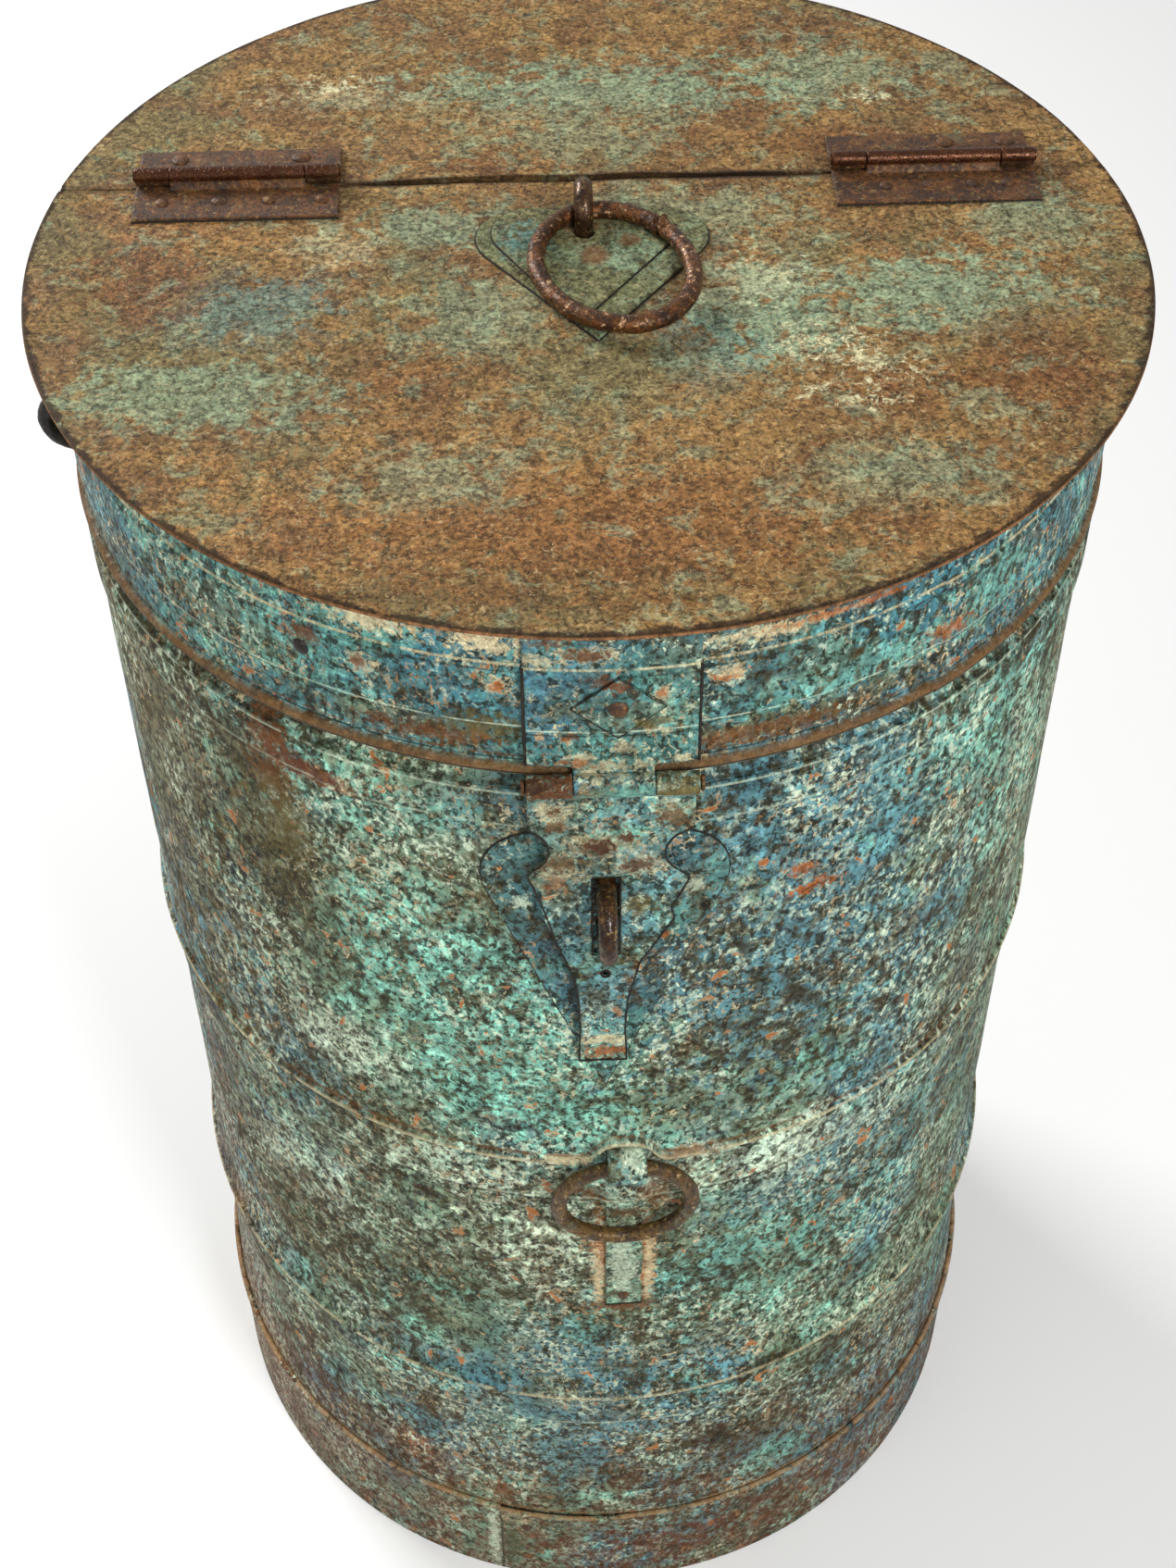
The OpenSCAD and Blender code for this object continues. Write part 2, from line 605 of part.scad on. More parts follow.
module hasp_leaf() {
    back = hasp_axis_y - hasp_knuckle_r + 0.1;
    z = hasp_axis_z;
    outline = concat(
        [[45, z], [45, 908]], arc(47, 888, 17.5, 115, 232, 8), [[43.5, 868], [41, 853], [33.5, 844],
        [34.5, 833], [17.5, 795], [11.5, 762], [9, 735], [9.8, 712], [-17.8, 712], [-17, 735],
        [-20, 762], [-24, 790], [-29, 812], [-39, 849], [-44.5, 871]],
        arc(-50, 891, 17.5, -62, 62, 8), [[hasp_x[0], 911], [hasp_x[0], z]]);
    color("#6aa39b") difference() {
        union() {
            translate([0, -back, 0]) rotate([90, 0, 0]) linear_extrude(hasp_t) polygon(outline);
            for (k = [[hasp_x[0], hasp_x[1]], [hasp_x[2], hasp_x[3]]]) hasp_knuckle(k[0], k[1]);
            translate([-4, -back, 714]) rotate([155, 0, 0])    // the tip curls out
                translate([-tip_w / 2, 0, -0.5]) cube([tip_w, hasp_t, 8]);
        }
        hasp_bore();
        translate([hasp_x[1] - 0.1, -hasp_axis_y - 10, z - hasp_knuckle_r - 1.3])
            cube([hasp_x[2] - hasp_x[1] + 0.2, 30, 30]);
        translate([slot_x - slot[0] / 2, -back - 10, slot_z[0]]) cube([slot[0], 20, slot[1]]);
        translate([-2.8, -back + 1, 786]) rotate([90, 0, 0]) cylinder(r = 3, h = 10, $fn = fn_small);
    }
}

bottom_plate();
lower_course();
middle_course();
upper_course();
mouth_wire();
base_band();
base_band_rivets();
lower_hoop();
middle_hoop();
upper_hoop();
upper_hoop_rivets();
rear_top_plate();
rear_skirt();
rear_skirt_rivets();
left_hinge_rear_leaf();
right_hinge_rear_leaf();
left_hinge_pin();
right_hinge_pin();
left_rear_leaf_rivets();
right_rear_leaf_rivets();
hasp_heart_plate();
hasp_heart_rivets();
hasp_staple();
side_staple();
front_ring_strap();
front_strap_rivet();
lid_flap();
lid_skirt();
lid_skirt_rivet();
left_hinge_front_leaf();
right_hinge_front_leaf();
left_front_leaf_rivets();
right_front_leaf_rivets();
lid_heart_plate();
lid_inner_plate();
lid_staple();
hasp_upper_leaf();
hasp_diamond_washer();
hasp_rivet();
hasp_pin();
hasp_leaf();
lid_ring();
front_ring();
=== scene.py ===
import json
import math
import random

import bmesh
import bpy
import numpy as np
from mathutils import Matrix, Vector, noise


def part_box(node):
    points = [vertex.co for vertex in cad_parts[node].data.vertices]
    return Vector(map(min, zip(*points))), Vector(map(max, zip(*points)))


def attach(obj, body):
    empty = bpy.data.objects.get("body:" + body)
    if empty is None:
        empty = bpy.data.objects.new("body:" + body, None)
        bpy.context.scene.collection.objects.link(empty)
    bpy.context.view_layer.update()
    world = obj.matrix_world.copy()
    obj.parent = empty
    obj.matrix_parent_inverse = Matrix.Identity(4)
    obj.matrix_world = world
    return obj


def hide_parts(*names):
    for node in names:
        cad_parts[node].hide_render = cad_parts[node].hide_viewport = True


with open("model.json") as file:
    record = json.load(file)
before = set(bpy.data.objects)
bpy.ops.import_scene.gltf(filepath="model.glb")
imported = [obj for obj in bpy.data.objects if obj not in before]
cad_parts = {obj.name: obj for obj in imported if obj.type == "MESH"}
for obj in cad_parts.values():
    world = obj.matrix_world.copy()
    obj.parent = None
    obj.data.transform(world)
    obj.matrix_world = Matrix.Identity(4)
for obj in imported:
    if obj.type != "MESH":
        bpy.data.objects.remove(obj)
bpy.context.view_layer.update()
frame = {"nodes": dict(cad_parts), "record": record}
mm = 0.001

bodyOf = {n: b for b, ns in frame["record"]["behaviour"]["bodies"].items() for n in ns}


def low(node):
    return [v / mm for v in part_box(node)[0]]


def high(node):
    return [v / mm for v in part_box(node)[1]]


# Places read from the frame, and below them the sheet's own sizes, in millimetres.
lidTop = high("lid_flap")[2]
lidRadius = high("lid_flap")[0]
splitFront = high("lid_flap")[1]
splitRear = low("rear_top_plate")[1]
splitMiddle = (splitFront + splitRear) / 2
strapAngle = math.atan2(
    (low("front_ring_strap")[0] + high("front_ring_strap")[0]) / 2, -low("front_ring_strap")[1])
sheet = {"thick": 1.3, "gap": 0.1, "waveSeed": 4, "sharp": 38}
wallRadius = {"upper": 303.3, "lower": 300.5, "foot": 304.5, "neck": 297.6, "skirt": 303.0}


# small helpers
def tone(text):                             # "#rrggbb" to the linear colour Blender wants
    parts = [int(text[i:i + 2], 16) / 255 for i in (1, 3, 5)]
    return tuple(c / 12.92 if c <= 0.04045 else ((c + 0.055) / 1.055) ** 2.4 for c in parts) + (1.0,)


def smooth(lo, hi, v):
    t = np.clip((v - lo) / (hi - lo), 0, 1)
    return t * t * (3 - 2 * t)


def makeWaves(seed, count, depth, finest):
    rng = random.Random(seed)
    terms = []
    for _ in range(count):
        around = rng.randint(1, finest)
        up = rng.uniform(-finest, finest) / 300
        terms.append((around, up, rng.uniform(0, 6.28), depth / (1 + 0.3 * around)))

    def waves(angle, z):
        return sum(d * np.sin(n * angle + k * z + p) for n, k, p, d in terms)
    return waves


drumWaves = makeWaves(sheet["waveSeed"], 9, 0.12, 9)
drumDimples = makeWaves(sheet["waveSeed"] + 1, 14, 0.10, 34)
lidWaves = makeWaves(sheet["waveSeed"] + 2, 10, 0.5, 12)


def steps(first, last, step, dense=()):     # angles, closer together round the places in dense
    places = list(np.arange(first, last + step / 2, step))
    for centre, half, fineStep in dense:
        places = [p for p in places if abs(p - centre) > half]
        places += list(np.arange(centre - half, centre + half + fineStep / 2, fineStep))
    places = sorted(p for p in places if first <= p <= last)
    return [p for i, p in enumerate(places) if i == 0 or p - places[i - 1] > 1e-6]


def fineOutline(outline, step):
    dense = []
    for (r0, z0), (r1, z1) in zip(outline, outline[1:] + outline[:1]):
        n = max(1, round(math.dist((r0, z0), (r1, z1)) / step))
        dense += [(r0 + (r1 - r0) * i / n, z0 + (z1 - z0) * i / n) for i in range(n)]
    return dense


def bead(r, z, radius, a0, a1, n=10):       # points of a rolled edge's round section
    angles = [math.radians(a0 + (a1 - a0) * i / n) for i in range(n + 1)]
    return [(r + radius * math.cos(a), z + radius * math.sin(a)) for a in angles]


def meshObject(name, verts, faces):
    mesh = bpy.data.meshes.new(name)
    mesh.from_pydata(verts, [], faces)
    obj = bpy.data.objects.new(name, mesh)
    bpy.context.collection.objects.link(obj)
    return obj


def outward(obj, sharp=sheet["sharp"]):     # one closed skin, faces out, soft shading up to an angle
    work = bmesh.new()
    work.from_mesh(obj.data)
    bmesh.ops.remove_doubles(work, verts=work.verts, dist=1e-6)
    bmesh.ops.recalc_face_normals(work, faces=work.faces)
    work.to_mesh(obj.data)
    work.free()
    obj.data.shade_smooth()
    obj.data.set_sharp_from_angle(angle=math.radians(sharp))


def turned(name, outline, angles, shift, closed=True):
    a = np.radians(np.array(angles))
    ring = np.array(outline)
    turn, radius = np.meshgrid(a, ring[:, 0], indexing="ij")
    height = np.broadcast_to(ring[:, 1], radius.shape)
    radius, height = shift(turn, radius, height)
    verts = np.stack([radius * np.sin(turn), -radius * np.cos(turn), height], -1).reshape(-1, 3) * mm
    n, m = len(a), len(outline)
    faces = [(i * m + j, i * m + (j + 1) % m, (i + 1) % n * m + (j + 1) % m, (i + 1) % n * m + j)
             for i in range(n if closed else n - 1) for j in range(m)]
    if not closed:
        faces += [tuple(range(m)), tuple(range((n - 1) * m, n * m))]
    obj = meshObject(name, verts.tolist(), faces)
    outward(obj)
    return obj


def finish(obj, material, *nodes, keep=False):  # material and body of a finished piece
    obj.data.materials.clear()
    obj.data.materials.append(material)
    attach(obj, bodyOf[nodes[0]])
    if not keep:
        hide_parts(*nodes)
    return obj


# node trees
class TreeMaker:                            # short calls for adding and linking nodes
    def __init__(self, tree):
        self.tree = tree

    def add(self, kind, inputs=None, **settings):
        node = self.tree.nodes.new(kind)
        for key, value in settings.items():
            setattr(node, key, value)
        for key, value in (inputs or {}).items():
            self.put(node.inputs[key], value)
        return node

    def grow(self, kind, inputs=None, **settings):  # a geometry node's first output
        return self.add("GeometryNode" + kind, inputs, **settings).outputs[0]

    def vector(self, x, y, z):
        return self.add("ShaderNodeCombineXYZ", {"X": x, "Y": y, "Z": z}).outputs[0]

    def put(self, socket, value):
        if isinstance(value, bpy.types.NodeSocket):
            self.tree.links.new(value, socket)
        elif value is not None:
            socket.default_value = value

    def math(self, operation, a, b=None, clamp=False):
        node = self.add("ShaderNodeMath", operation=operation, use_clamp=clamp)
        self.put(node.inputs[0], a)
        self.put(node.inputs[1], b)
        return node.outputs[0]

    def times(self, a, b):
        return self.math("MULTIPLY", a, b)

    def plus(self, a, b):
        return self.math("ADD", a, b)

    def minus(self, a, b):
        return self.math("SUBTRACT", a, b)

    def noise(self, vector, scale, detail=3.0, rough=0.55, distortion=0.0):
        node = self.add("ShaderNodeTexNoise", {"Vector": vector, "Scale": scale, "Detail": detail,
                                               "Roughness": rough, "Distortion": distortion})
        return node.outputs["Fac"]

    def between(self, value, lo, hi, outLo=0.0, outHi=1.0):
        node = self.add("ShaderNodeMapRange", {"Value": value, "From Min": lo, "From Max": hi,
                                               "To Min": outLo, "To Max": outHi},
                        interpolation_type="SMOOTHSTEP")
        return node.outputs["Result"]

    def blend(self, factor, a, b, mode="MIX"):
        node = self.add("ShaderNodeMix", data_type="RGBA", blend_type=mode)
        self.put(node.inputs[0], factor)
        self.put(node.inputs[6], a)
        self.put(node.inputs[7], b)
        return node.outputs[2]

    def over(self, colour, tint, mask, strength):  # lays a tint over the colour where the mask is
        return self.blend(self.times(mask, strength), colour, tint)

    def group(self, tree, inputs):
        node = self.add("ShaderNodeGroup")
        node.node_tree = tree
        for key, value in inputs.items():
            self.put(node.inputs[key], value)
        return node.outputs


def newGroup(name, inputs, outputs, kind="ShaderNodeTree"):
    tree = bpy.data.node_groups.new(name, kind)
    for label, socketType, value in inputs:
        socket = tree.interface.new_socket(label, in_out="INPUT", socket_type=socketType)
        if value is not None:
            socket.default_value = value
    for label, socketType in outputs:
        tree.interface.new_socket(label, in_out="OUTPUT", socket_type=socketType)
    maker = TreeMaker(tree)
    return tree, maker, maker.add("NodeGroupInput").outputs, maker.add("NodeGroupOutput").inputs


floatSocket, vectorSocket = "NodeSocketFloat", "NodeSocketVector"
arcRadius = 0.3                             # metres; arcs on the wall are an angle times this


lipArch = {"rise": 27, "half": 19, "out": 5.5, "dip": 4,  # the upper course's lip rises over the strap
           "linesFrom": 580, "linesTo": 600}


def buildWallPlace():                       # arc along the wall, height, and height above the lip, in metres
    tree, t, _, out = newGroup("wallPlace", [], [("Arc", floatSocket), ("Height", floatSocket),
                                                 ("Lip", floatSocket)])
    place = t.add("ShaderNodeTexCoord").outputs["Object"]
    xyz = t.add("ShaderNodeSeparateXYZ", {"Vector": place}).outputs
    turn = t.math("ARCTAN2", xyz["X"], t.times(xyz["Y"], -1.0))
    arc = t.times(turn, arcRadius)
    away = t.math("DIVIDE", t.minus(arc, strapAngle * arcRadius), lipArch["half"] * mm)
    arch = t.math("EXPONENT", t.times(t.math("POWER", t.math("ABSOLUTE", away), 4.0), -1.0))
    t.put(out["Arc"], arc)
    t.put(out["Height"], xyz["Z"])
    t.put(out["Lip"], t.minus(xyz["Z"], t.times(arch, lipArch["rise"] * mm)))
    return tree


def buildBlots():                           # ragged islands, with a darker heart
    tree, t, inp, out = newGroup(
        "blots", [("Vector", vectorSocket, None), ("Scale", floatSocket, 100.0),
                  ("Amount", floatSocket, 0.4), ("Softness", floatSocket, 0.06),
                  ("Detail", floatSocket, 4.0)],
        [("Mask", floatSocket), ("Heart", floatSocket)])
    field = t.noise(inp["Vector"], inp["Scale"], inp["Detail"], 0.62, 0.4)
    edge = t.minus(0.75, t.times(inp["Amount"], 0.5))
    t.put(out["Mask"], t.between(field, t.minus(edge, inp["Softness"]),
                                 t.plus(edge, inp["Softness"])))
    deep = t.plus(edge, 0.09)
    t.put(out["Heart"], t.between(field, t.minus(deep, inp["Softness"]),
                                  t.plus(deep, inp["Softness"])))
    return tree


def buildGrain():                           # fine rust grain: brightness round 1 and a height
    tree, t, inp, out = newGroup(
        "grain", [("Vector", vectorSocket, None), ("Scale", floatSocket, 500.0),
                  ("Depth", floatSocket, 0.3)],
        [("Shade", floatSocket), ("Height", floatSocket)])
    fine = t.noise(inp["Vector"], inp["Scale"], 3.0, 0.7)
    coarse = t.noise(inp["Vector"], t.times(inp["Scale"], 0.27), 2.0, 0.6)
    both = t.plus(t.times(fine, 0.65), t.times(coarse, 0.35))
    sway = t.times(t.minus(both, 0.5), t.times(inp["Depth"], 4.0))
    t.put(out["Shade"], t.plus(sway, 1.0))
    t.put(out["Height"], both)
    return tree


def buildPatch():                           # one ragged oval patch on two coordinates
    tree, t, inp, out = newGroup(
        "patch", [("Across", floatSocket, 0.0), ("Along", floatSocket, 0.0),
                  ("Centre Across", floatSocket, 0.0), ("Centre Along", floatSocket, 0.0),
                  ("Half Width", floatSocket, 0.05), ("Half Length", floatSocket, 0.05),
                  ("Edge Noise", floatSocket, 0.5), ("Ragged", floatSocket, 1.6)],
        [("Mask", floatSocket)])
    a = t.math("DIVIDE", t.minus(inp["Across"], inp["Centre Across"]), inp["Half Width"])
    b = t.math("DIVIDE", t.minus(inp["Along"], inp["Centre Along"]), inp["Half Length"])
    away = t.math("SQRT", t.plus(t.times(a, a), t.times(b, b)))
    torn = t.times(t.minus(inp["Edge Noise"], 0.5), inp["Ragged"])
    t.put(out["Mask"], t.between(t.plus(away, torn), 1.15, 0.55))
    return tree


def buildWornLine():                        # a broken line where a coordinate passes a value
    tree, t, inp, out = newGroup(
        "wornLine", [("Value", floatSocket, 0.0), ("At", floatSocket, 0.0),
                     ("Half Width", floatSocket, 0.002), ("Edge Noise", floatSocket, 0.5),
                     ("Broken", floatSocket, 0.5)],
        [("Mask", floatSocket)])
    away = t.math("ABSOLUTE", t.minus(inp["Value"], inp["At"]))
    near = t.between(away, inp["Half Width"], t.times(inp["Half Width"], 0.3))
    kept = t.between(inp["Edge Noise"], t.minus(inp["Broken"], 0.08),
                     t.plus(inp["Broken"], 0.08))
    t.put(out["Mask"], t.times(near, kept))
    return tree


wallPlaceGroup = buildWallPlace()
blotsGroup = buildBlots()
grainGroup = buildGrain()
patchGroup = buildPatch()
wornLineGroup = buildWornLine()
print("stage: effect groups built")


# finishes
def blotsOn(t, place, scale, amount, softness, detail):
    return t.group(blotsGroup, {"Vector": place, "Scale": scale, "Amount": amount, "Softness": softness,
                                "Detail": detail})


def grainOn(t, place, scale, depth):
    return t.group(grainGroup, {"Vector": place, "Scale": scale, "Depth": depth})


def patchOn(t, across, along, spot, edgeNoise, ragged):  # spot is a centre and half sizes in millimetres
    x, y, halfX, halfY = (v * mm for v in spot)
    return t.group(patchGroup, {"Across": across, "Along": along, "Centre Across": x, "Centre Along": y,
                                "Half Width": halfX, "Half Length": halfY, "Edge Noise": edgeNoise,
                                "Ragged": ragged})["Mask"]


wholeLine = 0.95                            # a line at least this strong is nearly unbroken


def lineOn(t, value, at, half, edgeNoise, broken):
    return t.group(wornLineGroup, {"Value": value, "At": at * mm, "Half Width": half * mm,
                                   "Edge Noise": edgeNoise, "Broken": broken})["Mask"]


def newMaterial(name):
    material = bpy.data.materials.new(name)
    material.use_nodes = True
    material.node_tree.nodes.clear()
    maker = TreeMaker(material.node_tree)
    shader = maker.add("ShaderNodeBsdfPrincipled")
    output = maker.add("ShaderNodeOutputMaterial")
    maker.put(output.inputs["Surface"], shader.outputs["BSDF"])
    place = maker.add("ShaderNodeTexCoord").outputs["Object"]
    return material, maker, shader, place


def closeFinish(t, shader, colour, rough, height, bump):
    t.put(shader.inputs["Base Color"], colour)
    t.put(shader.inputs["Roughness"], rough)
    raised = t.add("ShaderNodeBump", {"Strength": bump[0], "Distance": bump[1] * mm, "Height": height})
    t.put(shader.inputs["Normal"], raised.outputs["Normal"])


def stretched(t, place, scale):             # the same place with one axis squeezed or drawn out
    return t.add("ShaderNodeMapping", {"Vector": place, "Scale": scale}).outputs["Vector"]


# Places are (arc round the front or x, height or y), then half sizes, all in millimetres.
wallPaint = {
    "base": "#70886e", "blue": "#507f88", "turquoise": "#80c4ae", "pale": "#dcebcc",
    # the two darkest tones here paint blot hearts and specks, and also painted shade in gaps, slots and under
    # edges
    "shade": "#4c563a", "olive": "#62562a", "blot": "#48390f", "speckAndShade": "#1e1c0c", "deepBlotAndShade": "#2a1d0a",
    "cream": "#dccda2", "pink": "#b08c62", "rust": "#70431c", "orange": "#b0601f", "redBrown": "#703a20",
    "blotAmount": 0.42, "speckAmount": 0.4, "fleckAmount": 0.43, "grain": 0.5, "mottle": 2.2, "wear": 0.45,
    "specular": 0.25,
    "tints": [                              # colour, strength, centre and half sizes
        ("turquoise", 0.95, -108, 770, 62, 62), ("turquoise", 0.95, -66, 690, 60, 80),
        ("turquoise", 0.7, -150, 900, 70, 26), ("turquoise", 0.7, -30, 640, 50, 40),
        ("turquoise", 0.5, 205, 880, 60, 45), ("turquoise", 0.45, 290, 800, 60, 90),
        ("blue", 0.75, 130, 880, 110, 70), ("turquoise", 0.45, 230, 900, 60, 70),
        ("blue", 0.9, 100, 760, 100, 110), ("blue", 0.75, -225, 610, 60, 60),
        ("blue", 0.6, 180, 500, 130, 70), ("blue", 0.6, 60, 430, 40, 30), ("pale", 0.6, -175, 660, 45, 30),
        ("pale", 0.5, -230, 470, 60, 60), ("pale", 0.5, -120, 560, 60, 26), ("pale", 0.5, 110, 560, 90, 34),
        ("turquoise", 0.55, 120, 430, 120, 60), ("pale", 0.6, -40, 480, 60, 60),
        ("olive", 0.8, -222, 885, 38, 30), ("olive", 0.6, -200, 810, 34, 70),
        # the olive tints at arc -310 are brownish paint and also painted shade darkening the far left side
        ("olive", 0.55, -255, 740, 26, 60), ("olive", 0.85, -310, 780, 80, 200),
        ("olive", 0.7, -310, 480, 60, 160), ("olive", 0.5, -250, 400, 50, 60),
        ("redBrown", 0.6, -380, 260, 90, 280), ("redBrown", 0.55, -330, 90, 130, 90),
        ("orange", 0.7, -152, 152, 22, 24), ("olive", 0.5, -60, 860, 40, 50),
        ("olive", 0.45, 250, 640, 50, 60), ("orange", 0.7, -165, 903, 30, 9),
        ("rust", 0.5, -150, 150, 40, 24), ("blue", 0.6, -60, 190, 70, 40), ("olive", 0.5, 90, 200, 80, 40),
    ],
    "marks": [                              # the same, with a finer ragged edge
        ("orange", 1.0, 119, 822, 15, 5), ("deepBlotAndShade", 0.7, 121, 821, 9, 2.5),
        ("orange", 0.9, 108, 840, 8, 5), ("rust", 0.7, 110, 839, 4, 3), ("orange", 0.65, -6, 470, 5, 60),
        ("orange", 0.65, 26, 462, 6, 54), ("cream", 0.7, -7, 446, 4, 40), ("cream", 0.7, 27, 456, 4, 44),
        ("rust", 0.8, 10, 410, 22, 7), ("cream", 0.8, -26, 592, 16, 4), ("cream", 0.8, 46, 593, 18, 4),
        ("rust", 0.7, 50, 590, 20, 6), ("rust", 0.6, -12, 550, 10, 12), ("rust", 0.7, 30, 545, 12, 20),
        # the dark spot at arc -73 is painted shade where the rectangular hole is; the thin dark line at arc
        # -82.7 is painted shadow along the base band's lapped end
        ("cream", 0.6, -74, 96, 11, 7), ("deepBlotAndShade", 1.0, -73, 96, 6, 3.2), ("rust", 0.8, -83, 128, 8, 18),
        ("deepBlotAndShade", 0.95, -82.7, 52, 1.5, 60), ("pale", 0.6, -89, 56, 5, 48),
        ("shade", 0.7, -74, 50, 8, 50), ("rust", 0.9, -192, 922, 13, 20),
        ("redBrown", 0.8, -172, 905, 28, 9), ("rust", 0.7, -196, 882, 18, 20),
        ("olive", 0.7, -190, 850, 20, 34), ("deepBlotAndShade", 0.9, -192, 926, 4, 6),
    ],
    "bottomRust": (290, 10),
    # lines along the lips, hoops and band: the cream, pale and pink ones are partly painted highlights on the
    # raised edges, the dark ones painted shade in the gaps under them, the rust ones rust
    "lines": [(589, 2.4, "cream", 0.65), (584, 2.0, "deepBlotAndShade", 0.85), (594, 2.2, "rust", 0.6),
              (541, 2.0, "speckAndShade", 0.8), (545, 1.4, "pale", 0.3), (290.5, 2.0, "cream", 0.55),
              (285.5, 2.0, "deepBlotAndShade", 0.85), (245, 1.8, "speckAndShade", 0.7), (248.5, 1.4, "pale", 0.3),
              (110, 2.2, "pink", 0.65), (105, 1.6, "speckAndShade", 0.6), (897, 1.8, "speckAndShade", 0.8),
              (926, 1.4, "pale", 0.4), (902, 1.4, "pale", 0.3), (192, 1.8, "speckAndShade", 0.5),
              (930.5, 1.4, "speckAndShade", 0.6)],
    "bump": (0.7, 1.0),
}


def paintPatches(t, colour, c, across, along, patches, edgeNoise, ragged):
    for tint, strength, *spot in patches:
        mask = patchOn(t, across, along, spot, edgeNoise, ragged)
        colour = t.over(colour, c[tint], mask, strength)
    return colour


paintScale = {                              # how fine each layer of the paint is
    "broad": 5.5, "middle": 24.0, "ragged": 80.0, "fine": 210.0, "stain": 13.0, "mottle": 150.0,
    "chalk": 230.0, "blot": 98.0, "speckAndShade": 240.0, "spot": 62.0, "fleck": 260.0, "worn": 330.0, "grain": 620.0,
}


def agedPaint(name, look):
    material, t, shader, place = newMaterial(name)
    shader.inputs["Specular IOR Level"].default_value = look["specular"]
    c = {k: tone(v) for k, v in look.items() if isinstance(v, str)}
    wall = t.group(wallPlaceGroup, {})
    flat = stretched(t, place, (1.0, 1.0, 0.82))
    broad = t.noise(place, paintScale["broad"], 3.0, 0.55)
    middle = t.noise(place, paintScale["middle"], 4.0, 0.6)
    ragged = t.noise(flat, paintScale["ragged"], 6.0, 0.7, 0.6)
    fine = t.noise(place, paintScale["fine"], 6.0, 0.76, 0.8)
    colour = t.blend(t.between(broad, 0.42, 0.6), c["base"], c["blue"])
    colour = t.blend(t.between(middle, 0.5, 0.7, 0.0, 0.7), colour, c["turquoise"])
    colour = t.blend(t.between(middle, 0.48, 0.3, 0.0, 0.7), colour, c["shade"])
    stain = t.noise(place, paintScale["stain"], 5.0, 0.68)
    colour = t.blend(t.between(stain, 0.53, 0.66, 0.0, 0.55), colour, c["olive"])
    colour = paintPatches(t, colour, c, wall["Arc"], wall["Height"], look["tints"], ragged, 5.0)
    mottle = grainOn(t, flat, paintScale["mottle"], look["mottle"])["Shade"]
    calm = t.between(t.noise(place, 7.5, 3.0, 0.55, 0.3), 0.38, 0.6, 0.4, 1.0)
    colour = t.blend(calm, colour, mottle, "MULTIPLY")
    # pale chalky bloom in clusters
    chalk = blotsOn(t, flat, paintScale["chalk"], look["fleckAmount"], 0.05, 5.0)["Mask"]
    where = t.between(t.noise(place, 16.0, 3.0, 0.6), 0.4, 0.6)
    colour = t.blend(t.times(chalk, t.times(where, 0.85)), colour, c["pale"])
    # brown blots, darker at heart, and small dark specks
    crowd = t.between(t.noise(place, 9.0, 3.0, 0.6), 0.34, 0.66, look["blotAmount"] - 0.12,
                      look["blotAmount"] + 0.14)
    big = blotsOn(t, flat, paintScale["blot"], crowd, 0.05, 8.0)
    small = blotsOn(t, flat, paintScale["speckAndShade"], look["speckAmount"], 0.05, 3.0)
    left = t.between(fine, 0.4, 0.54, 0.95, 0.58)
    colour = t.over(colour, c["blot"], big["Mask"], left)
    colour = t.over(colour, c["deepBlotAndShade"], big["Heart"], 0.7)
    colour = t.over(colour, c["speckAndShade"], small["Mask"], 0.86)
    blots = t.math("MAXIMUM", big["Mask"], t.times(small["Mask"], 0.8))
    # cream and pinkish flecks in clusters
    fleckField = t.noise(flat, paintScale["fleck"], 4.0, 0.68, 0.8)
    cluster = t.between(t.noise(place, 17.0, 4.0, 0.65), 0.44, 0.62)
    flecks = t.times(t.between(fleckField, 0.55, 0.62), cluster)
    fleckTone = t.blend(t.between(t.noise(place, 40.0, 1.0), 0.45, 0.6), c["cream"], c["pink"])
    colour = t.over(colour, fleckTone, flecks, 0.9)
    # orange spots with a brown heart and a pale edge
    spot = blotsOn(t, flat, paintScale["spot"], 0.17, 0.02, 5.0)
    halo = blotsOn(t, flat, paintScale["spot"], 0.2, 0.01, 5.0)["Mask"]
    colour = t.over(colour, c["cream"], halo, 0.5)
    colour = t.over(colour, c["orange"], spot["Mask"], 0.85)
    colour = t.blend(spot["Heart"], colour, c["rust"])
    # rust in streaks, and creeping up from the base
    streak = t.noise(stretched(t, place, (1.0, 1.0, 0.09)), 120.0, 3.0, 0.6)
    colour = t.blend(t.between(streak, 0.6, 0.8, 0.0, 0.35), colour, c["rust"])
    top, bottom = look["bottomRust"]
    sway = t.times(t.minus(middle, 0.5), 0.16)
    damp = t.between(t.plus(wall["Height"], sway), top * mm, bottom * mm, 0.0, 0.62)
    colour = t.blend(t.times(damp, t.between(ragged, 0.35, 0.6)), colour, c["redBrown"])
    colour = paintPatches(t, colour, c, wall["Arc"], wall["Height"], look["marks"], fine, 6.0)
    # lines at given heights: painted highlights and painted shade along the edges of lips, hoops and beads,
    # and rust
    for height, half, tint, strength in look["lines"]:
        onLip = lipArch["linesFrom"] < height < lipArch["linesTo"]
        broken = 0.44 if strength < wholeLine else 0.2
        mask = lineOn(t, wall["Lip" if onLip else "Height"], height, half, ragged, broken)
        colour = t.over(colour, c[tint], mask, strength)
    worn = grainOn(t, place, paintScale["worn"], look["wear"])["Shade"]
    colour = t.blend(1.0, colour, worn, "MULTIPLY")
    grain = grainOn(t, place, paintScale["grain"], look["grain"])
    colour = t.blend(1.0, colour, grain["Shade"], "MULTIPLY")
    rough = t.plus(t.times(blots, 0.2), t.between(middle, 0.3, 0.7, 0.5, 0.66))
    raised = t.plus(t.times(grain["Height"], 0.7), t.times(flecks, 0.3))
    raised = t.plus(raised, t.times(chalk, 0.2))
    height = t.minus(raised, t.times(blots, 0.4))
    closeFinish(t, shader, colour, rough, height, look["bump"])
    return material


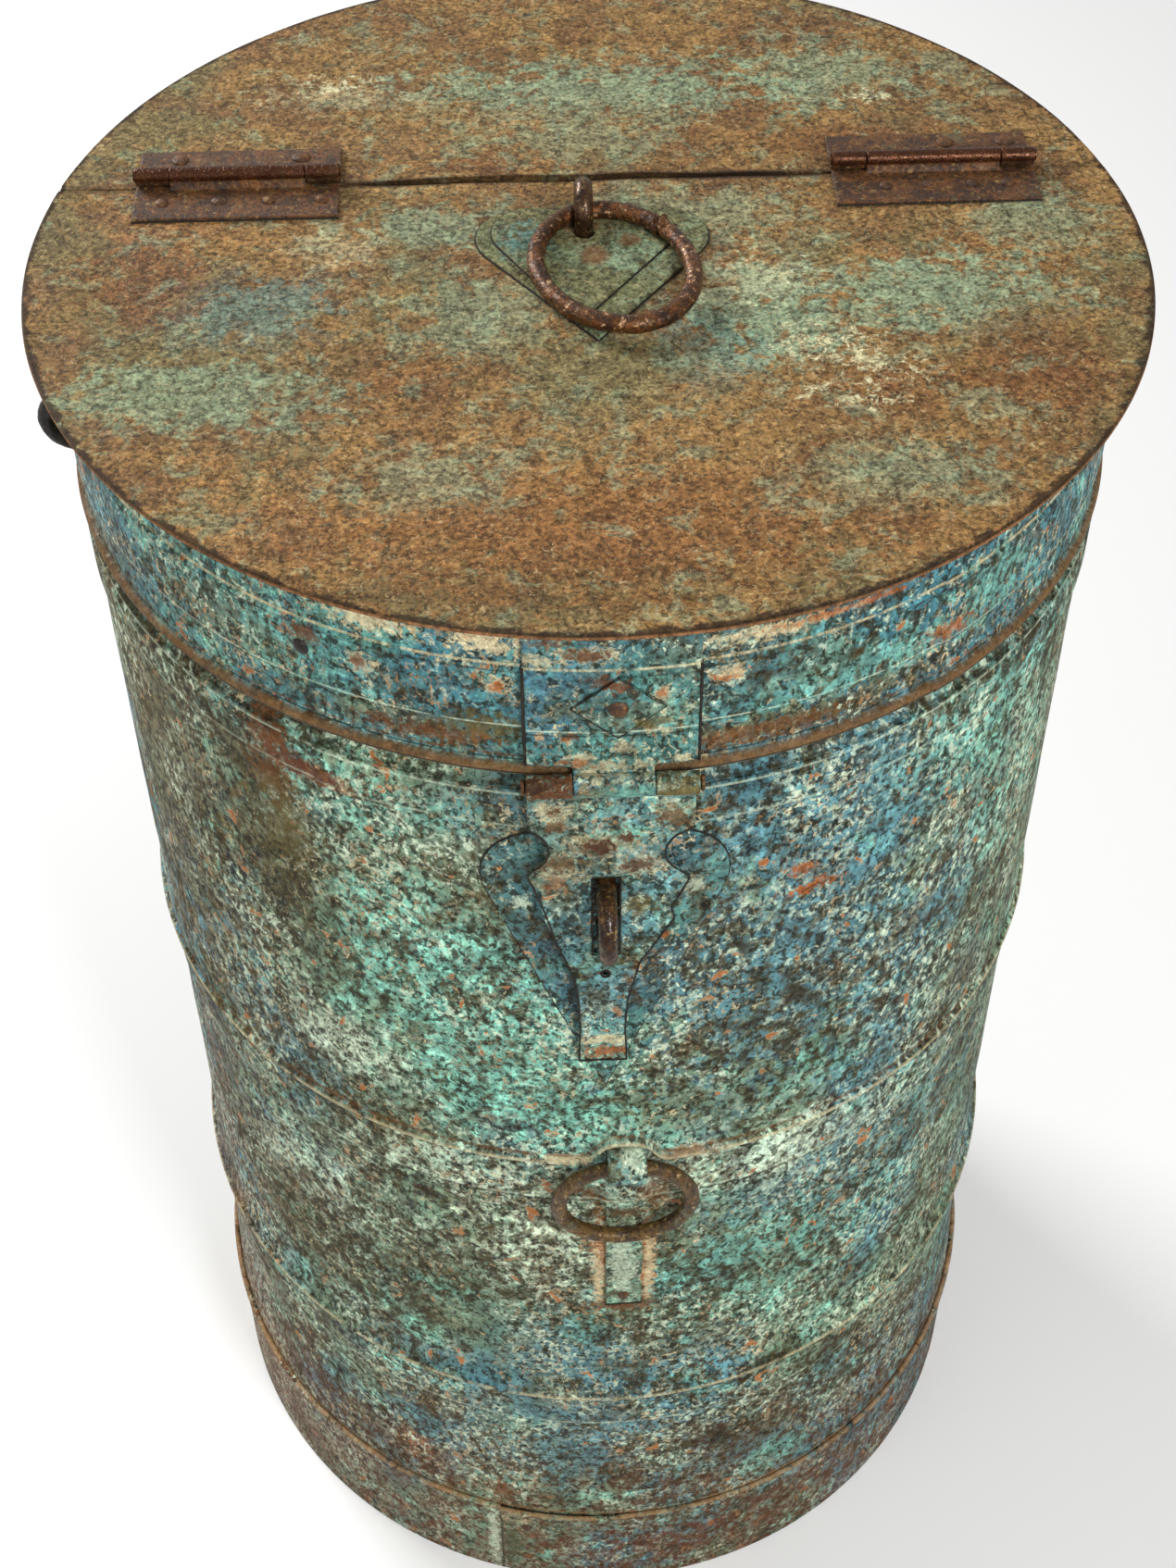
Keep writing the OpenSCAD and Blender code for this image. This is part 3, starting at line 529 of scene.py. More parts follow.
topRust = {
    "brown": "#7e5c38", "ochre": "#9c7a4a", "olive": "#7b744e", "brick": "#7c4e2c",
    # the rim tone is painted shade on the rolled rim's shaded side
    "sage": "#8da585", "teal": "#659086", "grey": "#6d7362", "dark": "#452e17", "rim": "#2c1d12",
    "cream": "#dcd5a8", "pit": "#2b1c0e", "scratch": "#d4bc8c", "grain": 0.65, "mottle": 1.1, "specular": 0.2,
    # the second tone here is a painted highlight on the rolled rim's outer face
    "tan": "#a47745", "rimHighlight": "#a8744a",
    "tints": [("tan", 0.75, -30, -230, 190, 70), ("tan", 0.5, -230, 60, 60, 60),
              ("tan", 0.5, 240, -20, 50, 60), ("sage", 0.75, 5, 170, 120, 40),
              ("sage", 0.6, 150, 185, 60, 40), ("grey", 0.6, -190, -50, 60, 40),
              ("teal", 0.45, -190, -45, 45, 26), ("brick", 0.75, -250, -22, 36, 45),
              ("cream", 0.3, -150, 170, 50, 14), ("brick", 0.5, 160, -130, 50, 26),
              ("sage", 0.8, 190, -50, 80, 38), ("sage", 0.85, 95, -60, 42, 60),
              ("teal", 0.5, 60, -100, 30, 40), ("brick", 0.5, -110, -110, 60, 30),
              ("brick", 0.5, 150, 110, 60, 20), ("sage", 0.65, -215, -125, 80, 30),
              ("ochre", 0.6, -60, 130, 120, 30), ("brick", 0.6, 240, -110, 40, 50),
              ("sage", 0.5, -90, -200, 50, 26), ("sage", 0.5, 150, -200, 60, 30),
              ("ochre", 0.6, 60, -160, 90, 40), ("brick", 0.45, 0, -240, 150, 40),
              ("dark", 0.3, -40, -285, 160, 24), ("brick", 0.5, -60, 92, 60, 10),
              ("sage", 0.6, -90, 30, 50, 22), ("ochre", 0.6, 90, 30, 50, 20),
              ("cream", 0.35, 90, -30, 40, 30), ("sage", 0.5, 260, 20, 40, 30),
              ("cream", 0.3, -140, 10, 30, 20), ("sage", 0.5, 60, 40, 70, 24),
              ("sage", 0.5, -60, -60, 50, 40), ("olive", 0.5, 0, -110, 60, 40),
              ("sage", 0.4, -10, 120, 60, 24)],
    "marks": [("pit", 0.9, 11, 22, 1.6, 2.4)],
    "flakes": [(134, -101, 30, 26), (118, -85, 18, 14), (143, -138, 30, 12), (166, -118, 20, 16),
               (-150, 190, 20, 14), (180, 160, 16, 12)],
    "splitShade": (splitMiddle, 6.5, 170),
    "bump": (0.7, 1.0),
}


def rustyTop(name, look):
    material, t, shader, place = newMaterial(name)
    shader.inputs["Specular IOR Level"].default_value = look["specular"]
    c = {k: tone(v) for k, v in look.items() if isinstance(v, str)}
    xyz = t.add("ShaderNodeSeparateXYZ", {"Vector": place}).outputs
    broad = t.noise(place, 6.0, 4.0, 0.6)
    middle = t.noise(place, 22.0, 5.0, 0.66)
    ragged = t.noise(place, 70.0, 7.0, 0.74, 0.7)
    fine = t.noise(place, 210.0, 6.0, 0.76, 0.8)
    colour = t.blend(t.between(middle, 0.38, 0.62), c["brown"], c["ochre"])
    colour = t.blend(t.between(broad, 0.5, 0.6, 0.0, 0.7), colour, c["olive"])
    colour = t.blend(t.between(ragged, 0.54, 0.66, 0.0, 0.3), colour, c["brick"])
    colour = paintPatches(t, colour, c, xyz["X"], xyz["Y"], look["tints"], ragged, 5.2)
    traces = t.between(t.noise(place, 42.0, 7.0, 0.74, 0.5), 0.53, 0.6)
    colour = t.over(colour, c["sage"], traces, 0.42)
    mottle = grainOn(t, place, 330.0, look["mottle"])["Shade"]
    colour = t.blend(1.0, colour, mottle, "MULTIPLY")
    chips = t.between(t.noise(place, 130.0, 5.0, 0.72, 1.0), 0.49, 0.56)
    for spot in look["flakes"]:
        mask = patchOn(t, xyz["X"], xyz["Y"], spot, ragged, 5.0)
        colour = t.over(colour, c["cream"], mask, chips)
    dark = blotsOn(t, place, 120.0, 0.38, 0.05, 7.0)
    colour = t.over(colour, c["dark"], dark["Mask"], 0.3)
    pits = blotsOn(t, place, 300.0, 0.38, 0.04, 4.0)["Mask"]
    colour = t.over(colour, c["pit"], pits, 0.6)
    light = t.between(t.noise(place, 260.0, 4.0, 0.72, 1.2), 0.56, 0.66)
    colour = t.over(colour, c["scratch"], light, 0.5)
    colour = paintPatches(t, colour, c, xyz["X"], xyz["Y"], look["marks"], fine, 1.0)
    reach = t.math("SQRT", t.plus(t.times(xyz["X"], xyz["X"]),
                                  t.times(xyz["Y"], xyz["Y"])))
    sway = t.times(t.minus(ragged, 0.5), 0.02)
    # painted shade: a dark band along the edge where the sheet turns into the rolled rim
    edge = t.between(t.plus(reach, sway), (lidRadius - 5) * mm, (lidRadius - 2.4) * mm)
    colour = t.over(colour, c["rim"], edge, 0.85)
    # painted highlight: a light line on the rolled rim's outer face
    rimHighlightMask = t.between(reach, (lidRadius - 1.0) * mm, (lidRadius - 0.3) * mm)
    colour = t.blend(t.times(rimHighlightMask, t.between(fine, 0.4, 0.6, 0.3, 0.9)), colour, c["rimHighlight"])
    if look["splitShade"]:                   # painted shade along the split: the sheet's edges beside the gap darkened, deepest in its middle
        at, half, reachX = look["splitShade"]
        line = lineOn(t, xyz["Y"], at, half, 1.0, 0.2)
        inner = t.between(t.math("ABSOLUTE", xyz["X"]), reachX * mm, reachX * 0.6 * mm, 0.4, 1.0)
        colour = t.over(colour, c["pit"], line, inner)
    grain = grainOn(t, place, 560.0, look["grain"])
    colour = t.blend(1.0, colour, grain["Shade"], "MULTIPLY")
    rough = t.between(middle, 0.3, 0.7, 0.62, 0.85)
    height = t.minus(grain["Height"], t.times(pits, 0.4))
    closeFinish(t, shader, colour, rough, height, look["bump"])
    return material


def forgedIron(name, look):                 # bars, hinges and rivets: dark scale with rust bloom
    material, t, shader, place = newMaterial(name)
    c = {k: tone(v) for k, v in look.items() if isinstance(v, str)}
    middle = t.noise(place, 60.0, 4.0, 0.65)
    ragged = t.noise(place, 190.0, 5.0, 0.7, 0.5)
    colour = t.blend(t.between(middle, 0.38, 0.62), c["dark"], c["brown"])
    colour = t.blend(t.between(ragged, 0.5, 0.62, 0.0, look["bloom"]), colour, c["rust"])
    # flecks of the light tone: painted glints standing in for highlights on the iron
    colour = t.blend(t.between(t.noise(place, 240.0, 4.0, 0.7), 0.57, 0.67, 0.0, look["glint"]),
                     colour, c["light"])
    traces = t.between(t.noise(place, 38.0, 4.0, 0.68, 0.4), 0.6, 0.66, 0.0, look["paint"])
    colour = t.blend(traces, colour, c["green"])
    pits = blotsOn(t, place, 380.0, 0.38, 0.04, 2.0)["Mask"]
    colour = t.over(colour, c["pit"], pits, 0.65)
    grain = grainOn(t, place, 700.0, 0.42)
    colour = t.blend(1.0, colour, grain["Shade"], "MULTIPLY")
    rough = t.between(ragged, 0.35, 0.65, look["rough"][0], look["rough"][1])
    metal = t.between(ragged, 0.35, 0.65, look["metal"] * 0.7, look["metal"] * 1.3)
    if look.get("rubbed"):                  # a bar above this height is rubbed dark and smooth
        high = t.add("ShaderNodeSeparateXYZ", {"Vector": place}).outputs["Z"]
        mask = t.between(high, look["rubbed"] * mm, (look["rubbed"] + 1.5) * mm)
        colour = t.over(colour, c["rub"], mask, 0.75)
        rough = t.minus(rough, t.times(mask, 0.36))
        metal = t.plus(metal, t.times(mask, 0.6))
    height = t.minus(grain["Height"], t.times(pits, 0.6))
    t.put(shader.inputs["Metallic"], metal)
    closeFinish(t, shader, colour, rough, height, look["bump"])
    return material


def ironLook(tones, bloom, glint, paint, rough, metal, bump, **extra):  # tones from dark to pit
    look = dict(zip(("dark", "brown", "rust", "light", "green", "pit"), tones.split()), **extra)
    return {**look, "bloom": bloom, "glint": glint, "paint": paint, "rough": rough, "metal": metal,
            "bump": bump}


ironLooks = {
    "hingeIron": ironLook("#3e2715 #694321 #8a5628 #b39a60 #6f7a5a #1c1108",
                0.6, 0.45, 0.3, (0.5, 0.75), 0.12, (0.7, 0.5), rub="#4e2b1a", rubbed=lidTop + 6),
    "ringIron": ironLook("#3a2312 #66411f #854f26 #e6b88c #6c6036 #22140b",
                0.7, 0.85, 0.3, (0.24, 0.55), 0.5, (0.9, 0.5)),
    "stapleIron": ironLook("#2c1a10 #54361a #6e4a22 #c4a868 #6a6c46 #140c08",
                0.5, 0.6, 0.6, (0.14, 0.38), 0.45, (0.5, 0.35)),
    "blackIron": ironLook("#1b1614 #2b211c #3a281e #54463a #33372e #100c0a",
                0.4, 0.3, 0.2, (0.35, 0.6), 0.3, (0.5, 0.35)),
    "dragRingIron": ironLook("#40301a #6c5028 #82602e #cdb07a #6a6a4c #20140c",
                0.55, 0.8, 0.6, (0.28, 0.58), 0.36, (0.7, 0.45)),
    "innerIron": ironLook("#3a2a20 #523a29 #6b4529 #7a6448 #4f5546 #22160e",
                0.6, 0.3, 0.25, (0.7, 0.9), 0.05, (0.6, 0.6)),
    # near-black tones of the outline beads: dirt and rust, and painted shade of the gaps under plate edges
    "seamDirtAndShade": ironLook("#17130c #231b10 #3a2814 #6b5a38 #2c3a30 #0c0a06",
                0.5, 0.25, 0.4, (0.8, 0.95), 0.03, (0.6, 0.4)),
}
iron = {name: forgedIron(name, look) for name, look in ironLooks.items()}
paint = agedPaint("wallPaint", wallPaint)
skirtPaint = agedPaint("skirtPaint", {**wallPaint, "base": "#4b7f80", "blue": "#3f7884", "wire": "#70522f",
    "blotAmount": 0.32, "fleckAmount": 0.34, "mottle": 1.7, "wear": 0.8,
    "tints": [("blue", 0.5, 160, 1005, 120, 30), ("turquoise", 0.5, -190, 1000, 90, 28),
              ("turquoise", 0.5, 130, 985, 60, 20), ("olive", 0.5, 150, 965, 90, 10),
              ("olive", 0.6, -110, 968, 60, 10), ("olive", 0.6, 70, 962, 90, 9),
              ("olive", 0.5, -210, 990, 50, 24), ("turquoise", 0.6, 215, 995, 40, 24),
              ("blue", 0.7, -70, 1000, 60, 24), ("olive", 0.4, 100, 1000, 30, 16)],
    "marks": [("cream", 0.9, -62, 1034, 22, 9), ("cream", 0.9, -122, 1033, 24, 8),
              ("pink", 0.7, -95, 1040, 40, 5), ("cream", 0.75, 75, 1030, 36, 5),
              ("orange", 0.7, 120, 1031, 40, 2.5), ("orange", 0.7, 190, 985, 14, 6),
              ("cream", 0.8, -55, 1005, 7, 6), ("orange", 0.9, -55, 1005, 4, 4),
              ("rust", 0.8, -160, 1010, 10, 6), ("cream", 0.7, -128, 1003, 9, 7),
              ("redBrown", 0.8, -128, 1003, 5, 4), ("olive", 0.8, -62, 974, 22, 11),
              ("rust", 0.7, -100, 962, 40, 6), ("rust", 0.7, 80, 960, 50, 6), ("cream", 0.7, 60, 1010, 8, 6)],
    # the wide dark line at the top is painted shade under the lid's rim; the cream and pale lines are partly
    # painted highlights on the bead, and the thin dark lines painted shade beside the bead and the wire
    "lines": [(1046, 6.0, "deepBlotAndShade", 0.75), (1019, 1.0, "cream", 0.7), (1015.5, 1.2, "speckAndShade", 0.6),
              (974.5, 1.0, "speckAndShade", 0.7), (977.5, 0.8, "pale", 0.5), (946, 5.0, "wire", 0.96),
              (944.2, 0.9, "deepBlotAndShade", 0.96), (951, 1.0, "deepBlotAndShade", 0.8), (953.5, 1.4, "rust", 0.6)],
    "bottomRust": (10, 0)})
leafPaint = agedPaint("leafPaint", {**wallPaint, "base": "#4d7f7a", "blue": "#47778a", "turquoise": "#66a89a",
    "shade": "#3f5f56", "blotAmount": 0.28, "speckAmount": 0.4, "fleckAmount": 0.3, "mottle": 1.3,
    "wear": 0.9,
    "cream": "#cdc49c", "redBrown": "#5c3a22", "orange": "#96582a",
    "tints": [("turquoise", 0.4, 0, 965, 40, 12), ("shade", 0.3, -20, 1000, 30, 12),
              ("olive", 0.4, 10, 990, 40, 10)],
    "marks": [("cream", 0.85, -10, 1029, 15, 6), ("redBrown", 0.95, -11, 1029, 11, 5),
              ("redBrown", 0.8, -30, 1036, 11, 4), ("cream", 0.8, 26, 1002.5, 5, 6),
              ("orange", 0.85, 26, 1002.5, 3, 4), ("cream", 0.6, -2, 955, 28, 4),
              ("olive", 0.5, 0, 945, 24, 4), ("cream", 0.7, -13, 960, 8, 5), ("orange", 0.8, -16, 957, 9, 3),
              ("cream", 0.7, -35, 1024, 9, 5), ("redBrown", 0.85, -6, 1013, 9, 4),
              ("rust", 0.8, 4, 1010, 6, 4), ("cream", 0.6, 8, 968, 6, 5), ("redBrown", 0.8, -18, 975, 5, 3),
              ("cream", 0.8, 36, 957, 5, 3), ("olive", 0.7, 20, 983, 16, 5), ("cream", 0.75, 27, 977, 5, 3),
              ("turquoise", 0.7, 6, 943, 18, 6), ("olive", 0.5, -10, 943, 10, 6)],
    # the wide dark line at the top is painted shade under the lid's rim; the cream and pale lines are partly
    # painted highlights on the bead, the thin dark ones painted shade beside it
    "lines": [(1046, 5.0, "deepBlotAndShade", 0.7), (1019, 0.9, "cream", 0.8), (1015.5, 1.0, "speckAndShade", 0.5),
              (974.5, 0.8, "speckAndShade", 0.7), (977, 0.8, "pale", 0.6)],
    "bottomRust": (10, 0), "bump": (0.5, 0.6)})
haspPaint = agedPaint("haspPaint", {**wallPaint, "base": "#6c8a74", "turquoise": "#74b098",
    "blue": "#5f8f94", "shade": "#51684f", "blotAmount": 0.34, "speckAmount": 0.42, "fleckAmount": 0.36,
    "mottle": 1.3, "wear": 0.9, "cream": "#cdc49c", "redBrown": "#50301c", "orange": "#96582a",
    "rust": "#5e4120", "copper": "#603c22",
    "tints": [("turquoise", 0.7, 6, 902, 18, 10), ("blue", 0.6, -6, 912, 10, 8),
              ("blue", 0.5, -16, 826, 12, 24), ("blue", 0.5, 12, 830, 12, 18),
              ("shade", 0.5, 0, 800, 20, 12), ("olive", 0.5, -6, 760, 10, 20),
              ("olive", 0.5, 14, 849, 10, 6), ("olive", 0.5, -26, 850, 8, 16)],
    "marks": [("cream", 0.8, -28, 921, 9, 10), ("rust", 0.95, -28, 921, 5, 5),
              ("rust", 0.85, -27.5, 909, 5, 5), ("cream", 0.55, -1, 896, 22, 9),
              ("redBrown", 0.98, -6, 894, 11, 6), ("redBrown", 0.95, 9, 900, 6, 4),
              ("cream", 0.6, 16, 879, 13, 8), ("redBrown", 0.9, 16, 879, 9, 5),
              ("cream", 0.45, 32, 920, 9, 9), ("rust", 0.85, 32, 915, 8, 8),
              ("cream", 0.55, -26, 876, 14, 12), ("rust", 0.9, -25, 880, 10, 6),
              ("orange", 0.6, -29, 864, 7, 6), ("redBrown", 0.9, -2, 786, 5, 3),
              # at the tip: the cream band is partly a painted highlight on the curl, and the dark line below
              # it painted shadow under the tip
              ("cream", 0.95, -3, 724, 17, 5), ("orange", 0.8, -3, 714, 17, 5),
              ("deepBlotAndShade", 0.95, -3, 707, 20, 2.5), ("copper", 1.0, -31, 946, 26, 12),
              ("olive", 0.6, 31, 946, 22, 10), ("pale", 0.4, 30, 948, 14, 2), ("speckAndShade", 0.6, -36, 949, 8, 3),
              ("olive", 0.9, 34, 942, 14, 9), ("olive", 0.6, 36, 946, 10, 4), ("cream", 0.35, 34, 941, 8, 2),
              ("rust", 0.9, 13, 777, 5, 12), ("orange", 0.7, 15, 786, 3, 7), ("olive", 0.8, 14, 843, 10, 7),
              ("speckAndShade", 0.7, -20, 822, 6, 4), ("speckAndShade", 0.7, 17, 818, 6, 4), ("rust", 0.6, -36, 884, 3, 8),
              ("deepBlotAndShade", 0.8, -18, 791, 5, 1.5), ("deepBlotAndShade", 0.8, 14, 791, 5, 1.5),
              ("pale", 0.7, 14, 610, 9, 5), ("pale", 0.5, 9, 470, 9, 50), ("pale", 0.5, 9, 545, 9, 10),
              ("olive", 0.6, 2, 606, 6, 8), ("rust", 0.85, 10, 529, 14, 5), ("blot", 0.8, 4, 431, 4, 4),
              ("turquoise", 0.6, 9, 545, 10, 8)],
    "lines": [(934.5, 1.4, "deepBlotAndShade", 0.8)], "bottomRust": (10, 0), "bump": (0.7, 0.8)})
platePaint = agedPaint("platePaint", {**wallPaint, "base": "#4f7a74", "blue": "#3f6c78",
    "turquoise": "#5f9484", "shade": "#3a5048", "blotAmount": 0.34, "fleckAmount": 0.34, "mottle": 1.2,
    "tints": [("olive", 0.6, 30, 850, 20, 14), ("olive", 0.5, -24, 865, 14, 14)],
    "marks": [("pale", 0.6, -48, 838, 5, 5), ("pale", 0.5, 46, 850, 5, 5), ("orange", 0.6, 30, 810, 4, 3),
              # the dark marks round the slot are painted shade in the slot beside the staple; the dark bands
              # along the hasp's outline are painted shadow of the hasp
              ("deepBlotAndShade", 1.0, -2, 843, 16, 26), ("deepBlotAndShade", 1.0, -2, 843, 14, 22),
              ("speckAndShade", 0.6, -38, 905, 7, 16), ("speckAndShade", 0.6, -31, 850, 7, 30),
              ("speckAndShade", 0.6, -26, 810, 7, 30), ("speckAndShade", 0.6, -18, 760, 6, 34),
              ("speckAndShade", 0.4, 22, 790, 4, 30)],
    "lines": [], "bottomRust": (10, 0), "bump": (0.5, 0.6)})
topFinish = rustyTop("topFinish", topRust)
heartTop = rustyTop("heartTop", {**topRust, "brown": "#6f7350", "ochre": "#7f7c55", "olive": "#6a7d60",
    "tints": [("teal", 0.85, -34, 8, 16, 20), ("sage", 0.7, 22, -5, 22, 20), ("brick", 0.7, 0, 24, 16, 10),
              ("olive", 0.6, -12, -10, 18, 18)],
    "marks": [("pit", 0.95, 11, 22, 1.6, 2.4), ("brick", 0.7, 4, -8, 9, 11), ("brick", 0.7, 24, 6, 7, 7),
              ("ochre", 0.6, 8, 26, 14, 5)],
    "flakes": [], "splitShade": None})
print("stage: finishes built")


# drum
def wallShift(turn, radius, height):        # shallow dents shared by everything on the wall
    calm = smooth(1040, 940, height) * (0.45 + 0.55 * smooth(0, 140, height))
    hardware = 1 - 0.7 * np.exp(-(turn / 0.3) ** 4) * smooth(640, 700, height)
    side = 1.8 * np.exp(-((turn + 1.257) / 0.10) ** 2 - ((height - 640) / 16) ** 2)
    push = (drumWaves(turn, height) + drumDimples(turn, height)) * calm * hardware - side
    return radius + push, height


def strapArc(turn):                         # distance from the middle of the ring's strap
    return (turn - strapAngle) * wallRadius["upper"]


upperCourse = {"joggle": (930, 938), "lip": 2.2}


def upperShift(turn, radius, height):       # the lower lip arches over the strap's loop
    radius, height = wallShift(turn, radius, height)
    arc = strapArc(turn)
    near = smooth(upperLip + 62, upperLip, height)
    arch = np.exp(-(arc / lipArch["half"]) ** 4)
    dip = np.exp(-((arc + 30) / 9) ** 2)
    radius = radius + lipArch["out"] * arch * smooth(upperLip + 45, upperLip, height)
    return radius, height + near * (lipArch["rise"] * arch - lipArch["dip"] * dip)


upperLip, upperRim = low("upper_course")[2], high("upper_course")[2]


def roundTurn(*dense):                      # the whole way round, a degree at a time
    return steps(-180, 179, 1.0, dense)


roundSteps = roundTurn((math.degrees(strapAngle), 7, 0.25))
r, n, t0, b = wallRadius["upper"], wallRadius["neck"], sheet["thick"], upperCourse["lip"]
outline = (bead(r - t0 + b, upperLip + b, b, 100, 360 + 20, 12)
           + [(r, upperLip + 6), (r, upperCourse["joggle"][0]), (n, upperCourse["joggle"][1]), (n, upperRim),
              (n - t0, upperRim), (n - t0, upperCourse["joggle"][1]), (r - t0, upperCourse["joggle"][0]),
              (r - t0, upperLip + 6)])
finish(turned("upperCourse", fineOutline(outline, 6), roundSteps, upperShift), paint, "upper_course")

middleLip, middleTop = low("middle_course")[2], high("middle_course")[2]
r = wallRadius["lower"]
lapOut = r + 2 * t0 + 2 * sheet["gap"]
lap = (299, 310)
outline = (bead(lapOut - t0 + b, middleLip + b, b, 100, 380, 12)
           + [(lapOut, middleLip + 6), (lapOut, lap[0]), (r, lap[1]), (r, middleTop), (r - t0, middleTop),
              (r - t0, lap[1]), (lapOut - t0, lap[0]), (lapOut - t0, middleLip + 6)])
finish(turned("middleCourse", fineOutline(outline, 6), roundSteps, wallShift), paint, "middle_course")

foot, bandTop, flareTop = wallRadius["foot"], high("base_band")[2], 191
outline = [(foot, 0), (foot, bandTop), (foot - 2, bandTop + 40), (r, flareTop), (r, lap[0]), (r - t0, lap[0]),
           (r - t0, flareTop), (foot - t0 - 2, bandTop + 40), (foot - t0, bandTop), (foot - t0, 0)]
finish(turned("lowerCourse", fineOutline(outline, 7), roundTurn(), wallShift), paint, "lower_course")

hoopLook = {"thick": 1.3, "bridgeRise": 3.6, "bridgeHalf": 15, "upperTop": 929, "beadTop": 924,
            "beadThick": 2.3}


def bridgeShift(turn, radius, height):      # the middle hoop runs over the strap's tail
    radius, height = wallShift(turn, radius, height)
    return radius + hoopLook["bridgeRise"] * np.exp(-(strapArc(turn) / hoopLook["bridgeHalf"]) ** 6), height


def hoopLapShift(turn, radius, height):     # lapped end of the upper hoop at the front left
    radius, height = wallShift(turn, radius, height)
    degrees = np.degrees(turn)
    return radius + hoopLook["thick"] * smooth(-31.1, -30.9, degrees) * smooth(-20, -24, degrees), height


gap = sheet["gap"]
inside, outside = r + gap, r + gap + hoopLook["thick"]
for name, node, shift in (("lowerHoop", "lower_hoop", wallShift), ("middleHoop", "middle_hoop", bridgeShift)):
    z0 = low(node)[2]
    z1 = middleLip + 8 if node == "lower_hoop" else high(node)[2]
    outline = [(inside, z0), (outside, z0), (outside, z1), (inside, z1)]
    finish(turned(name, fineOutline(outline, 5), roundSteps, shift), paint, node)

r = wallRadius["upper"] + gap
z0, thick = low("upper_hoop")[2], hoopLook["beadThick"]
outline = ([(r, z0), (r + thick - 0.8, z0)] + bead(r + thick - 0.8, z0 + 0.8, 0.8, -90, 0, 4)
           + [(r + thick, hoopLook["beadTop"] - 2), (r + hoopLook["thick"], hoopLook["beadTop"]),
              (r + hoopLook["thick"], hoopLook["upperTop"]), (r, hoopLook["upperTop"])])
finish(turned("upperHoop", fineOutline(outline, 4), roundTurn((-31, 1.0, 0.1)), hoopLapShift), paint,
       "upper_hoop")

bandLook = {"thick": 2.0, "lip": 2.2, "lapAngle": -15.8, "lapRise": 1.7}


def bandShift(turn, radius, height):
    radius, height = wallShift(turn, radius, height)
    degrees = np.degrees(turn)
    rise = smooth(bandLook["lapAngle"] - 0.1, bandLook["lapAngle"] + 0.1, degrees) * smooth(6, -2, degrees)
    return radius + bandLook["lapRise"] * rise * smooth(0, 12, height), height


z0, r, b = low("base_band")[2], foot + gap, bandLook["lip"]
outline = ([(r, z0), (r + bandLook["thick"], z0)] + [(r + bandLook["thick"], bandTop - 2 * b)]
           + bead(r + b, bandTop - b, b, -30, 190, 10))
finish(turned("baseBand", fineOutline(outline, 6), roundTurn((bandLook["lapAngle"], 1.0, 0.1)), bandShift),
       paint, "base_band")
print("stage: drum shell turned")


# skirts
skirtLook = {"bead": (975, 1018), "beadUp": 2, "wire": 4, "seam": 35, "seamRise": 0.9, "turnedIn": 18}
skirtWaves = makeWaves(31, 10, 0.16, 16)


def skirtShift(turn, radius, height):
    degrees = np.degrees(turn)
    seam = smooth(skirtLook["seam"] - 0.1, skirtLook["seam"] + 0.1, degrees)
    seam = skirtLook["seamRise"] * seam * smooth(skirtLook["seam"] + 9, skirtLook["seam"] + 2, degrees)
    calm = 1 - 0.8 * np.exp(-(turn / 0.2) ** 4)
    return radius + skirtWaves(turn, height) * calm + seam, height


def skirtOutline(node):
    top, wireZ = high(node)[2], low(node)[2] + skirtLook["wire"]
    rad, (lo, hi), up = wallRadius["skirt"], skirtLook["bead"], skirtLook["beadUp"]
    inner, edge = rad - t0, rad - skirtLook["turnedIn"]
    return ([(rad, top), (rad, hi + 1), (rad + up, hi - 1), (rad + up, lo + 1), (rad, lo - 1),
             (rad, wireZ + 5)]
            + bead(rad - 0.4, wireZ, skirtLook["wire"], 78, -258, 18)
            + [(inner, wireZ + 5), (inner, lo - 0.5), (inner + up, lo + 1.5), (inner + up, hi - 1.5),
               (inner, hi + 0.5), (inner, top - t0), (edge, top - t0), (edge, top)])


for name, node, first, last in (("lidSkirt", "lid_skirt", -88, 88), ("rearSkirt", "rear_skirt", 90, 270)):
    places = steps(first, last, 1.0, [(skirtLook["seam"], 1.0, 0.1)])
    skirt = turned(name, fineOutline(skirtOutline(node), 4), places, skirtShift, closed=False)
    finish(skirt, skirtPaint, node)


# the top: flap and fixed rear part
topLook = {"plate": 1.5, "rim": 1.7, "hemDepth": 12, "hemLength": 545, "rows": 96, "columns": 120,
           "hingeMiddles": (-203.5, 207)}


def topWave(x, y):                          # gentle warp, calm round the hinges and the heart plates
    hinges = sum(np.exp(-((x - cx) / 75) ** 4 - ((y - 76) / 45) ** 4) for cx in topLook["hingeMiddles"])
    heart = np.exp(-((x - 2) / 85) ** 4 - ((y + 10) / 80) ** 4)
    rim = smooth(lidRadius, lidRadius - 30, np.hypot(x, y))
    return lidWaves(x / 110, y) * (0.25 + 0.75 * rim) * (1 - 0.9 * np.clip(hinges + heart, 0, 1)) - 0.2


def splitEdge(x):                           # the cut edges wander and nearly meet at the ends
    middle = -1.9 * np.exp(-((x + 25) / 110) ** 4)
    return middle + 0.8 * (np.abs(x) / 300) ** 2 + 0.35 * np.sin(x / 31) + 0.2 * np.sin(x / 11 + 1)


